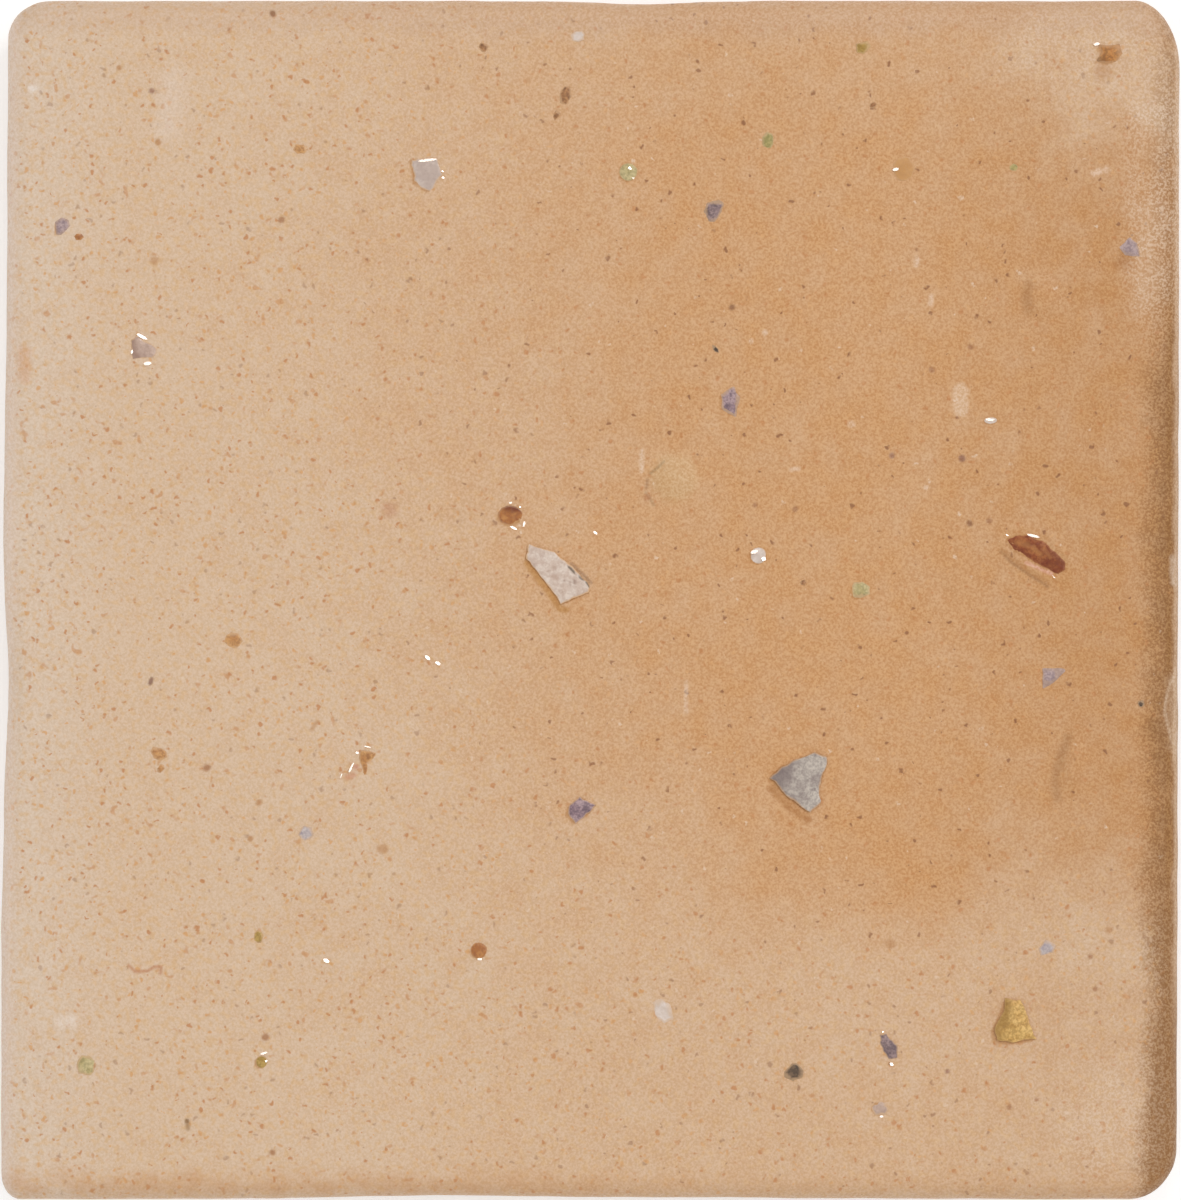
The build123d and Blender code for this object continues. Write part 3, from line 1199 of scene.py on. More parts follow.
        # Painted shadow beside the stones, away from the lights, tinted golden.
        layers.append((linear(self.tan), 0.7 * self.painted_shadow(x, y)))
        layers += [(stroke.tint, stroke.cover(x, y)) for stroke in self.strokes if stroke.touches(x, y)]
        return layered(layers)

    def unfold(self, x: float, y: float, depth: float) -> Place:
        """Where a place lies if the sides are folded out level with the face.

        Args:
            x: The place to the right.
            y: The place to the back.
            depth: How far it lies below the face.

        Returns:
            The place on the unfolded sheet.
        """
        out_x = depth * smooth_step(self.fold_start, self.fold_end, self.half_width - abs(x))
        out_y = depth * smooth_step(self.fold_start, self.fold_end, self.half_length - abs(y))
        return x + math.copysign(out_x, x), y + math.copysign(out_y, y)

    def lay(self, piece: bpy.types.Object, flat: float) -> None:
        """Lay the maps on a body's points. The stains and the painted shade, shadows and highlights fade
        out where the edge rolls over.

        Args:
            piece: The clay body.
            flat: The height of the face.
        """
        mesh = piece.data
        for name in ("warmth", "smoke", "ash"):
            mesh.attributes.new(name, "FLOAT", "POINT")
        mesh.attributes.new("mark", "FLOAT_COLOR", "POINT")
        maps = ("warmth", "smoke", "ash", "mark")
        warmth, smoke, ash, mark = (mesh.attributes[name].data for name in maps)
        fade_end, fade_start = self.mark_fade
        for index, vertex in enumerate(mesh.vertices):
            x, y, z = vertex.co / MM
            spread = self.unfold(x, y, max(0.0, flat - z))
            warmth[index].value = self.warmth(*spread)
            smoke[index].value = self.smoke(*spread)
            ash[index].value = self.ash(*spread)
            fade = smooth_step(flat - fade_end, flat - fade_start, z)
            # The stains, painted shade, shadows and highlights of the mark map.
            stains = self.mark(x, y) if fade > 0 else (0.0, 0.0, 0.0, 0.0)
            mark[index].color = tuple(fade * channel for channel in stains)

    def needs_detail(self, x: float, y: float) -> bool:
        """Whether a place lies on a narrow stroke, which needs a finer mesh."""
        return any(stroke.width < self.narrow and stroke.touches(x, y) for stroke in self.strokes)


# The clay body.


@dataclass(frozen=True)
class Bend:
    """A place along a side where it bends in, or out where its depth is negative."""

    place: float
    width: float
    depth: float

    def push(self, along: float) -> float:
        """How far the side is pushed in at a place along it."""
        return self.depth * bell(along, self.place, self.width)


@dataclass
class ClayBody:
    """The pressed body: a rolled edge, rounded corners, wandering sides and a flat bed."""

    relief: FaceRelief
    stones: list[Stone]
    paint: ClayPaint
    edge_roll: float = 2.7
    roll_steps: int = 8
    grid_step: float = 0.74
    face_depth: float = 1.5
    pillow: float = 0.16
    side_levels: tuple[float, ...] = (11.4, 9.2, 7.0, 4.8, 2.6, 0.6)
    side_taper: float = 0.6
    bed_arris: float = 0.6
    front_left: Place = (2.4, 3.4)
    front_right: Place = (6.3, 6.6)
    back_right: Place = (5.8, 9.0)
    back_left: Place = (5.4, 4.8)
    left_lean: float = 0.45
    left_bends: tuple[Bend, ...] = (Bend(10.0, 14.0, -0.25), Bend(-10.5, 9.0, 0.55))
    right_lean: float = 0.19
    front_bends: tuple[Bend, ...] = (Bend(-20.0, 17.0, 0.42), Bend(12.0, 22.0, 0.2))
    back_bends: tuple[Bend, ...] = (Bend(6.5, 8.0, 0.4),)
    pillow_reach: float = 3.0
    seat_cuts: int = 3
    seat_inside: float = 0.6
    seat_plain: float = 0.8
    seat_shaded: float = 1.6
    lip_away: float = 0.9
    lip_width: float = 0.7
    groove_depth: float = 0.03
    groove_width: float = 0.25
    side_broad: float = 0.16
    side_fine: float = 0.05
    side_margin: float = 4.0
    smooth_angle: float = 50.0

    def grid_lines(self, half: float) -> list[float]:
        """Where the face's grid lines run across one direction: close together on the rolled edge.

        Args:
            half: Half of the tile's size in that direction.

        Returns:
            The places of the lines, from one side to the other.
        """
        angles = [math.pi / 2 * step / self.roll_steps for step in range(self.roll_steps)]
        rim = [self.edge_roll * (1 - math.cos(angle)) for angle in angles]
        inner = half - self.edge_roll
        count = round(2 * inner / self.grid_step)
        middle = [-inner + 2 * inner * index / count for index in range(count + 1)]
        return [r - half for r in rim] + middle + [half - r for r in reversed(rim)]

    def side_wander(self, x: float, y: float) -> Place:
        """Move a place of the true rectangle with the wander of the four sides.

        Args:
            x: The place to the right.
            y: The place to the back.

        Returns:
            The moved place.
        """
        half_x, half_y = self.relief.width / 2, self.relief.length / 2
        along, across = y / half_y, x / half_x
        left = self.left_lean + self.left_lean * along
        for bend in self.left_bends:
            left += bend.push(y)
        left = max(0.0, left - 0.25 * smooth_step(-30, -45, y))
        right = self.right_lean - self.right_lean * along
        front = sum(bend.push(x) for bend in self.front_bends)
        back = sum(bend.push(x) for bend in self.back_bends)
        moved_x = x + left * (1 - across) / 2 - right * (1 + across) / 2
        moved_y = y + front * (1 - along) / 2 - back * (1 + along) / 2
        return moved_x, moved_y

    def round_corner(self, x: float, y: float) -> Place:
        """Bend a place of the true rectangle round the nearest corner.

        Args:
            x: The place to the right.
            y: The place to the back.

        Returns:
            The bent place.
        """
        half_x, half_y = self.relief.width / 2, self.relief.length / 2
        front = (self.front_left, self.front_right)
        back = (self.back_left, self.back_right)
        reach_x, reach_y = (back if y > 0 else front)[1 if x > 0 else 0]
        across = (abs(x) - half_x + reach_x) / reach_x
        along = (abs(y) - half_y + reach_y) / reach_y
        if across <= 0 or along <= 0:
            return x, y
        radius = max(across, along)
        share = min(across, along) / radius
        angle = math.pi / 4 * share if across >= along else math.pi / 2 - math.pi / 4 * share
        bent_x = half_x - reach_x + reach_x * radius * math.cos(angle)
        bent_y = half_y - reach_y + reach_y * radius * math.sin(angle)
        return math.copysign(bent_x, x), math.copysign(bent_y, y)

    def roll_drop(self, rim: float) -> float:
        """How far the rolled edge lies under the face at a distance in from the rim.

        Args:
            rim: The distance in from the rim.

        Returns:
            The depth under the face.
        """
        pillow = self.pillow * math.exp(-rim / self.pillow_reach)
        if rim >= self.edge_roll:
            return pillow
        return pillow + self.edge_roll - math.sqrt(self.edge_roll**2 - (self.edge_roll - rim) ** 2)

    def press_face(self) -> bpy.types.Object:
        """Lay a grid out as the face, with its outline, rounded corners and rolled edge.

        Returns:
            The open sheet of the face.
        """
        half_x, half_y = self.relief.width / 2, self.relief.length / 2
        columns, rows = self.grid_lines(half_x), self.grid_lines(half_y)
        start_fresh()
        across, along = len(columns) - 1, len(rows) - 1
        bpy.ops.mesh.primitive_grid_add(x_subdivisions=across, y_subdivisions=along, size=2.0)
        piece = bpy.context.object
        for vertex in piece.data.vertices:
            column = round((vertex.co.x + 1) / 2 * across)
            row = round((vertex.co.y + 1) / 2 * along)
            x, y = columns[column], rows[row]
            drop = self.roll_drop(min(half_x - abs(x), half_y - abs(y)))
            bent = self.round_corner(x, y)
            moved = self.side_wander(*bent)
            vertex.co = Vector((*moved, self.relief.thickness - drop)) * MM
        return piece

    def draw_sides(self, piece: bpy.types.Object) -> None:
        """Draw the rim down in steps to the bed, and close the bed.

        Args:
            piece: The open sheet of the face.
        """
        start_fresh()
        edit_all(piece)
        bpy.ops.mesh.select_mode(type="EDGE")
        bpy.ops.mesh.select_all(action="DESELECT")
        bpy.ops.mesh.select_non_manifold()
        half = self.relief.width / 2
        top = self.side_levels[0]
        lean = 0.0
        for level in self.side_levels:
            now = self.side_taper * (top - level) / top
            shrink = (half - now) / (half - lean)
            lean = now
            bpy.ops.mesh.extrude_edges_move()
            bpy.ops.transform.resize(value=(shrink, shrink, 0), center_override=(0, 0, level * MM))
        shrink = (half - lean - self.bed_arris) / (half - lean)
        bpy.ops.mesh.extrude_edges_move()
        bpy.ops.transform.resize(value=(shrink, shrink, 0), center_override=(0, 0, 0))
        bpy.ops.mesh.edge_face_add()
        bpy.ops.mesh.select_all(action="SELECT")
        bpy.ops.mesh.normals_make_consistent(inside=False)
        close_edit()

    def refine_seats(self, piece: bpy.types.Object) -> None:
        """Cut the face finer round each stone and under the narrow strokes of paint.

        Args:
            piece: The closed body.
        """
        start_fresh()
        mesh = piece.data
        for parts in (mesh.vertices, mesh.edges):
            parts.foreach_set("select", [False] * len(parts))
        for polygon in mesh.polygons:
            x, y, z = polygon.center / MM
            on_face = z > self.relief.thickness - self.face_depth
            polygon.select = on_face and (self.near_stone(x, y) or self.paint.needs_detail(x, y))
        bpy.context.tool_settings.mesh_select_mode = (False, False, True)
        bpy.context.view_layer.objects.active = piece
        piece.select_set(True)
        bpy.ops.object.mode_set(mode="EDIT")
        bpy.ops.mesh.subdivide(number_cuts=self.seat_cuts)
        close_edit()

    def near_stone(self, x: float, y: float) -> bool:
        """Whether a place lies in the band round a stone that needs a finer face.

        Args:
            x: The place to the right.
            y: The place to the back.

        Returns:
            True in the band round any stone.
        """
        for stone in self.stones:
            if math.dist((x, y), stone.place) < stone.span + 2.2:
                outside = self.seat_shaded if stone.shade > 0 else self.seat_plain
                if -self.seat_inside < stone.gap(x, y) < outside:
                    return True
        return False

    def seat_lift(self, x: float, y: float) -> float:
        """How much the clay lifts round the stones, or sinks where it is negative.

        Args:
            x: The place to the right.
            y: The place to the back.

        Returns:
            The lift.
        """
        lift = 0.0
        for stone in self.stones:
            if math.dist((x, y), stone.place) > stone.span + 3:
                continue
            gap = stone.gap(x, y)
            lift += stone.lip * bell(gap, self.lip_away, self.lip_width)
            lift -= self.groove_depth * bell(gap, 0.0, self.groove_width)
        return lift

    def shape_relief(self, piece: bpy.types.Object) -> None:
        """Move the clay up and down with its relief, and roughen its sides.

        Args:
            piece: The closed body.
        """
        flat = self.relief.thickness
        for vertex in piece.data.vertices:
            x, y, z = vertex.co / MM
            weight = smooth_step(flat - 4.5, flat - 0.6, z)
            if weight > 0:
                z += weight * (self.relief.height(x, y) - flat + self.seat_lift(x, y))
            if 0.2 < z < flat - 0.7:
                broad = self.side_broad * (1 + ripple(x + y, z, 5.0, 2.2)) / 2
                rough = broad + self.side_fine * (1 + ripple(x - y, z * 1.7, 1.6, 8.1)) / 2
                side = smooth_step(flat - 0.7, flat - 3.0, z)
                x -= math.copysign(rough * side, x) * (abs(x) > self.relief.width / 2 - self.side_margin)
                y -= math.copysign(rough * side, y) * (abs(y) > self.relief.length / 2 - self.side_margin)
            vertex.co = Vector((x, y, z)) * MM

    def build(self) -> bpy.types.Object:
        """Press the whole body.

        Returns:
            The closed clay body.
        """
        piece = self.press_face()
        self.draw_sides(piece)
        self.refine_seats(piece)
        self.paint.lay(piece, self.relief.thickness)
        self.shape_relief(piece)
        bpy.ops.object.shade_smooth_by_angle(angle=math.radians(self.smooth_angle))
        return settle(piece, "clay_body")


# Finishes.

# The skin's noises are turned off the axes by this much, in radians.
SKIN_TILT = (0.61, 0.83, 0.37)
NOISE_ROUGHNESS = 0.55

# Grog cells are bent by a noise of this spacing, by this much.
GROG_BEND = 0.6
GROG_STRAY = 0.7

# How much single grains stand out from their clump, and the range that the tone is spread from.
GRAIN_CONTRAST = 0.34
TONE_RANGE = (0.25, 0.75)


class NodeSheet:
    """A node tree that is being wired up, with short calls for the nodes that the finishes use."""

    def __init__(self, tree: bpy.types.NodeTree) -> None:
        """Work on a tree."""
        self.tree = tree

    def node(self, kind: str, **settings: object) -> bpy.types.Node:
        """Add a node and set its properties.

        Args:
            kind: The node's type, without its ShaderNode prefix.
            settings: Properties of the node.

        Returns:
            The new node.
        """
        made = self.tree.nodes.new("ShaderNode" + kind)
        for key, value in settings.items():
            setattr(made, key, value)
        return made

    def feed(self, target: bpy.types.NodeSocket, source: object) -> None:
        """Link a socket to an input, or set the input to a value.

        Args:
            target: The input.
            source: A socket to link, or a value to set.
        """
        if isinstance(source, bpy.types.NodeSocket):
            self.tree.links.new(source, target)
        else:
            target.default_value = source

    def math(
        self, operation: str, first: object, second: object = 0.0, clamp: bool = False
    ) -> bpy.types.NodeSocket:
        """A sum of two values, such as MULTIPLY or ADD.

        Args:
            operation: The node's operation.
            first: The first term.
            second: The second term.
            clamp: Whether the result is held between 0 and 1.

        Returns:
            The result.
        """
        made = self.node("Math", operation=operation, use_clamp=clamp)
        self.feed(made.inputs[0], first)
        self.feed(made.inputs[1], second)
        return made.outputs[0]

    def vector(self, operation: str, first: object, second: object) -> bpy.types.Node:
        """A sum of two vectors.

        Args:
            operation: The node's operation.
            first: The first term.
            second: The second term.

        Returns:
            The node, whose first output is the result.
        """
        made = self.node("VectorMath", operation=operation)
        self.feed(made.inputs[0], first)
        self.feed(made.inputs[1], second)
        return made

    def mix(self, share: object, first: object, second: object, blend: str = "MIX") -> bpy.types.NodeSocket:
        """Mix two colours by a share.

        Args:
            share: How much of the second colour shows.
            first: The first colour.
            second: The second colour.
            blend: The way of mixing, such as MIX or MULTIPLY.

        Returns:
            The mixed colour.
        """
        made = self.node("Mix", data_type="RGBA", blend_type=blend)
        self.feed(made.inputs[0], share)
        self.feed(made.inputs[6], first)
        self.feed(made.inputs[7], second)
        return made.outputs[2]

    def remap(
        self, value: object, low: object, high: object, start: object = 0.0, end: object = 1.0
    ) -> bpy.types.NodeSocket:
        """Spread a value smoothly over another range.

        Args:
            value: The value to spread.
            low: Where the given range starts.
            high: Where the given range ends.
            start: The result at the low end.
            end: The result at the high end.

        Returns:
            The spread value.
        """
        made = self.node("MapRange", interpolation_type="SMOOTHSTEP")
        for index, source in enumerate((value, low, high, start, end)):
            self.feed(made.inputs[index], source)
        return made.outputs[0]

    def noise(self, vector: object, spacing: float, detail: float = 2.0) -> bpy.types.Node:
        """A noise whose bumps are about a spacing in millimetres apart.

        Args:
            vector: Places on the tile.
            spacing: The spacing of the bumps.
            detail: How many finer layers are added.

        Returns:
            The noise's node.
        """
        made = self.node("TexNoise")
        self.feed(made.inputs["Vector"], vector)
        made.inputs["Scale"].default_value = 1 / (spacing * MM)
        made.inputs["Detail"].default_value = detail
        made.inputs["Roughness"].default_value = NOISE_ROUGHNESS
        return made

    def tilt(self, vector: object) -> bpy.types.NodeSocket:
        """Places turned off the axes, so that no row of a noise's cells lies along the face.

        Args:
            vector: Places on the tile.

        Returns:
            The turned places.
        """
        made = self.node("VectorRotate", rotation_type="EULER_XYZ")
        self.feed(made.inputs["Vector"], vector)
        made.inputs["Rotation"].default_value = SKIN_TILT
        return made.outputs[0]

    def painted(self, colour: object) -> bpy.types.NodeSocket:
        """Lay the stains, painted shade, shadows and highlights that are painted on a mesh's points over a
        colour.

        Args:
            colour: The bare colour.

        Returns:
            The stained colour.
        """
        paint = self.node("Attribute", attribute_name="mark")
        bare = self.mix(paint.outputs["Alpha"], colour, (0.0, 0.0, 0.0, 1.0))
        return self.mix(1.0, bare, paint.outputs["Color"], "ADD")

    def group(self, tree: bpy.types.NodeTree, **values: object) -> bpy.types.Node:
        """Place a shared node group.

        Args:
            tree: The group's tree.
            values: A value or socket by input name.

        Returns:
            The group's node.
        """
        made = self.node("Group", node_tree=tree)
        for key, value in values.items():
            self.feed(made.inputs[key], value)
        return made


class SharedEffects:
    """The node groups that more than one finish uses, each built once."""

    def __init__(self) -> None:
        """Build the groups."""
        self.specks = self.make_specks()
        self.grog = self.make_grog()
        self.sand = self.make_sand()

    @staticmethod
    def open_group(
        name: str, inputs: dict[str, str], outputs: dict[str, str]
    ) -> tuple[NodeSheet, bpy.types.Node, bpy.types.Node]:
        """Start a node group.

        Args:
            name: The group's name.
            inputs: Socket type by input name, such as Float or Vector.
            outputs: Socket type by output name.

        Returns:
            The sheet to wire, its input node and its output node.
        """
        tree = bpy.data.node_groups.new(name, "ShaderNodeTree")
        for label, kind in inputs.items():
            tree.interface.new_socket(name=label, in_out="INPUT", socket_type="NodeSocket" + kind)
        for label, kind in outputs.items():
            tree.interface.new_socket(name=label, in_out="OUTPUT", socket_type="NodeSocket" + kind)
        sheet = NodeSheet(tree)
        return sheet, tree.nodes.new("NodeGroupInput"), tree.nodes.new("NodeGroupOutput")

    def make_specks(self) -> bpy.types.NodeTree:
        """Scattered specks: the blots of a noise that rise above a level.

        Returns:
            The node group.
        """
        inputs = {"Vector": "Vector", "Cell": "Float", "Start": "Float", "End": "Float"}
        sheet, given, result = self.open_group("Specks", inputs, {"Mask": "Float"})
        blots = sheet.noise(given.outputs["Vector"], 1.0, 0.0)
        sheet.feed(blots.inputs["Scale"], sheet.math("DIVIDE", 1 / MM, given.outputs["Cell"]))
        mask = sheet.remap(blots.outputs["Fac"], given.outputs["Start"], given.outputs["End"])
        sheet.feed(result.inputs["Mask"], mask)
        return sheet.tree

    def make_grog(self) -> bpy.types.NodeTree:
        """Scattered broken grains: a soft mask of them all, and a number that picks the kind of each.

        Returns:
            The node group.
        """
        inputs = {"Vector": "Vector", "Cell": "Float", "Small": "Float", "Large": "Float", "Ragged": "Float"}
        sheet, given, result = self.open_group("Grog", inputs, {"Mask": "Float", "Pick": "Float"})
        bends = sheet.noise(given.outputs["Vector"], GROG_BEND, 0.0)
        stray = sheet.vector("SUBTRACT", bends.outputs["Color"], (0.5, 0.5, 0.5)).outputs[0]
        stray = sheet.vector("MULTIPLY", stray, (GROG_STRAY * MM,) * 3).outputs[0]
        cells = sheet.node("TexVoronoi", feature="F1")
        sheet.feed(cells.inputs["Vector"], sheet.vector("ADD", given.outputs["Vector"], stray).outputs[0])
        sheet.feed(cells.inputs["Scale"], sheet.math("DIVIDE", 1 / MM, given.outputs["Cell"]))
        lots = sheet.node("SeparateColor")
        sheet.feed(lots.inputs[0], cells.outputs["Color"])
        size = sheet.remap(lots.outputs[1], 0.0, 1.0, given.outputs["Small"], given.outputs["Large"])
        away = sheet.math("MULTIPLY", cells.outputs["Distance"], given.outputs["Cell"])
        away = sheet.math("ADD", away, given.outputs["Ragged"])
        mask = sheet.remap(away, sheet.math("MULTIPLY", size, 1.3), sheet.math("MULTIPLY", size, 0.5))
        sheet.feed(result.inputs["Mask"], mask)
        sheet.feed(result.inputs["Pick"], lots.outputs[0])
        return sheet.tree

    def make_sand(self) -> bpy.types.NodeTree:
        """A sandy skin: a tone that varies from grain to grain, and the height of the grains.

        Returns:
            The node group.
        """
        inputs = {"Vector": "Vector", "Coarse": "Float", "Fine": "Float"}
        sheet, given, result = self.open_group("SandySkin", inputs, {"Tone": "Float", "Height": "Float"})
        clumps = sheet.noise(given.outputs["Vector"], 1.0, 1.0)
        sheet.feed(clumps.inputs["Scale"], sheet.math("DIVIDE", 1 / MM, given.outputs["Coarse"]))
        pitch = sheet.math("MULTIPLY", given.outputs["Fine"], MM)
        block = sheet.vector("SNAP", given.outputs["Vector"], pitch)
        grains = sheet.node("TexWhiteNoise", noise_dimensions="3D")
        sheet.feed(grains.inputs["Vector"], block.outputs[0])
        single = sheet.math("SUBTRACT", grains.outputs["Value"], 0.5)
        single = sheet.math("MULTIPLY", single, GRAIN_CONTRAST)
        tone = sheet.math("ADD", clumps.outputs["Fac"], single)
        sheet.feed(result.inputs["Tone"], sheet.remap(tone, *TONE_RANGE))
        sheet.feed(result.inputs["Height"], clumps.outputs["Fac"])
        return sheet.tree


@dataclass(frozen=True)
class Grog:
    """One kind of crushed grain in the clay.

    The share is the part of all grains that are of this kind. Its colour shows by one strength
    on the pale side of the tile and by another on the warm side.
    """

    colour: Colour
    share: float
    pale_side: float
    warm_side: float


@dataclass(frozen=True)
class ClayFinish:
    """Sealed terracotta: a flame-warmed side, a sandy skin, flecks of grog and smoky edges."""

    pale: Colour = (211, 181, 151)
    warm: Colour = (200, 148, 96)
    deep: Colour = (188, 134, 79)
    bleached: Colour = (213, 190, 167)
    smoke: Colour = (138, 91, 36)
    ash: Colour = (220, 194, 168)
    pale_dark: Tint = (0.955, 0.93, 0.885, 1.0)
    pale_light: Tint = (1.045, 1.07, 1.115, 1.0)
    warm_dark: Tint = (0.905, 0.83, 0.72, 1.0)
    warm_light: Tint = (1.095, 1.17, 1.28, 1.0)
    coarse: float = 0.34
    fine: float = 0.2
    roughness: float = 0.5
    gloss_spread: float = 0.06
    bump: float = 0.4
    bump_depth: float = 0.12
    bleach_from: Place = (-56.0, -75.0)
    deepen_from: Place = (35.0, 75.0)
    warm_range: Place = (0.1, 0.9)
    gold: Colour = (210, 168, 116)
    gold_cell: float = 0.7
    gold_range: Place = (0.45, 0.8)
    gold_strength: Place = (0.5, 0.1)
    rust: Colour = (192, 130, 72)
    rust_cell: float = 0.85
    rust_range: Place = (0.7, 0.86)
    rust_strength: Place = (0.6, 0.35)
    grog_cell: float = 0.95
    grog_small: float = 0.03
    grog_large: float = 0.3
    grog_fray: float = 0.05
    ash_flakes: Place = (0.25, 0.52)
    smoke_spots: Place = (0.68, 0.92)
    smoke_break: float = 0.35
    grog: tuple[Grog, ...] = (
        Grog((204, 148, 88), 0.44, 0.78, 0.35),
        Grog((186, 122, 66), 0.36, 0.82, 0.65),
        Grog((136, 84, 44), 0.15, 0.4, 0.85),
        Grog((228, 206, 182), 0.05, 0.2, 0.4),
    )

    def build(self, effects: SharedEffects) -> bpy.types.Material:
        """Wire the finish.

        Args:
            effects: The shared node groups.

        Returns:
            The clay's material.
        """
        material = bpy.data.materials.new("sealed_terracotta")
        material.use_nodes = True
        sheet = NodeSheet(material.node_tree)
        shader = material.node_tree.nodes["Principled BSDF"]
        coords = sheet.node("TexCoord").outputs["Object"]
        skin = sheet.tilt(coords)
        sand = sheet.group(effects.sand, Vector=skin, Coarse=self.coarse, Fine=self.fine)
        warmth = sheet.node("Attribute", attribute_name="warmth").outputs["Fac"]
        axes = sheet.node("SeparateXYZ")
        sheet.feed(axes.inputs[0], coords)
        far_left = sheet.remap(axes.outputs[0], *[edge * MM for edge in self.bleach_from])
        pale = sheet.mix(far_left, linear(self.pale), linear(self.bleached))
        far_right = sheet.remap(axes.outputs[0], *[edge * MM for edge in self.deepen_from])
        warm = sheet.mix(far_right, linear(self.warm), linear(self.deep))
        colour = sheet.mix(warmth, pale, warm)
        dark = sheet.mix(warmth, self.pale_dark, self.warm_dark)
        light = sheet.mix(warmth, self.pale_light, self.warm_light)
        grain_tint = sheet.mix(sand.outputs["Tone"], dark, light)
        colour = self.fleck(sheet, effects, skin, warmth, sand.outputs["Tone"], colour)
        colour = self.smoke_edge(sheet, sand.outputs["Tone"], colour)
        colour = sheet.painted(colour)
        colour = sheet.mix(1.0, colour, grain_tint, "MULTIPLY")
        sheet.feed(shader.inputs["Base Color"], colour)

        dull, shiny = self.roughness + self.gloss_spread, self.roughness - self.gloss_spread
        gloss = sheet.remap(sand.outputs["Tone"], 0.0, 1.0, dull, shiny)
        sheet.feed(shader.inputs["Roughness"], gloss)
        bump = sheet.node("Bump")
        bump.inputs["Strength"].default_value = self.bump
        bump.inputs["Distance"].default_value = self.bump_depth * MM
        sheet.feed(bump.inputs["Height"], sand.outputs["Height"])
        sheet.feed(shader.inputs["Normal"], bump.outputs[0])
        return material

    def fleck(
        self,
        sheet: NodeSheet,
        effects: SharedEffects,
        coords: bpy.types.NodeSocket,
        warmth: bpy.types.NodeSocket,
        tone: bpy.types.NodeSocket,
        colour: bpy.types.NodeSocket,
    ) -> bpy.types.NodeSocket:
        """Tint the clay with gold blots and scatter the grains of grog.

        Args:
            sheet: The material's nodes.
            effects: The shared node groups.
            coords: Places on the tile.
            warmth: How much the flame warmed the clay.
            tone: The tone of the sandy skin, which frays the grains.
            colour: The clay under the flecks.

        Returns:
            The clay with its flecks.
        """
        for tint, cell, (low, high), strengths in (
            (self.gold, self.gold_cell, self.gold_range, self.gold_strength),
            (self.rust, self.rust_cell, self.rust_range, self.rust_strength),
        ):
            blots = sheet.group(effects.specks, Vector=coords, Cell=cell, Start=low, End=high)
            strength = sheet.remap(warmth, *self.warm_range, *strengths)
            share = sheet.math("MULTIPLY", blots.outputs["Mask"], strength)
            colour = sheet.mix(share, colour, linear(tint))
        ragged = sheet.remap(tone, 0.0, 1.0, self.grog_fray, -self.grog_fray)
        sizes = {"Cell": self.grog_cell, "Small": self.grog_small, "Large": self.grog_large}
        grains = sheet.group(effects.grog, Vector=coords, Ragged=ragged, **sizes)
        pick = grains.outputs["Pick"]
        start = 0.0
        for kind in self.grog:
            within = sheet.math("GREATER_THAN", pick, start)
            start += kind.share
            within = sheet.math("MULTIPLY", within, sheet.math("LESS_THAN", pick, start))
            strength = sheet.remap(warmth, *self.warm_range, kind.pale_side, kind.warm_side)
            share = sheet.math("MULTIPLY", sheet.math("MULTIPLY", within, strength), grains.outputs["Mask"])
            colour = sheet.mix(share, colour, linear(kind.colour))
        return colour

    def smoke_edge(
        self, sheet: NodeSheet, tone: bpy.types.NodeSocket, colour: bpy.types.NodeSocket
    ) -> bpy.types.NodeSocket:
        """Lay the ash on the high grains of the clay and the smoke between them.

        Args:
            sheet: The material's nodes.
            tone: The tone of the sandy skin.
            colour: The clay under the ash and smoke.

        Returns:
            The clay with its ash and smoke.
        """
        ash = sheet.node("Attribute", attribute_name="ash").outputs["Fac"]
        flakes = sheet.remap(tone, 0.1, 1.0, *self.ash_flakes)
        colour = sheet.mix(sheet.math("MULTIPLY", flakes, ash), colour, linear(self.ash))
        smoke = sheet.node("Attribute", attribute_name="smoke").outputs["Fac"]
        spots = sheet.remap(tone, 1.0, 0.0, *self.smoke_spots)
        thin = sheet.math("MULTIPLY", smoke, sheet.math("SUBTRACT", 1.0, smoke))
        spread = sheet.remap(tone, 1.0, 0.0, -self.smoke_break, self.smoke_break)
        broken = sheet.math("MULTIPLY", thin, spread)
        share = sheet.math("ADD", sheet.math("MULTIPLY", spots, smoke), broken, clamp=True)
        return sheet.mix(share, colour, linear(self.smoke))


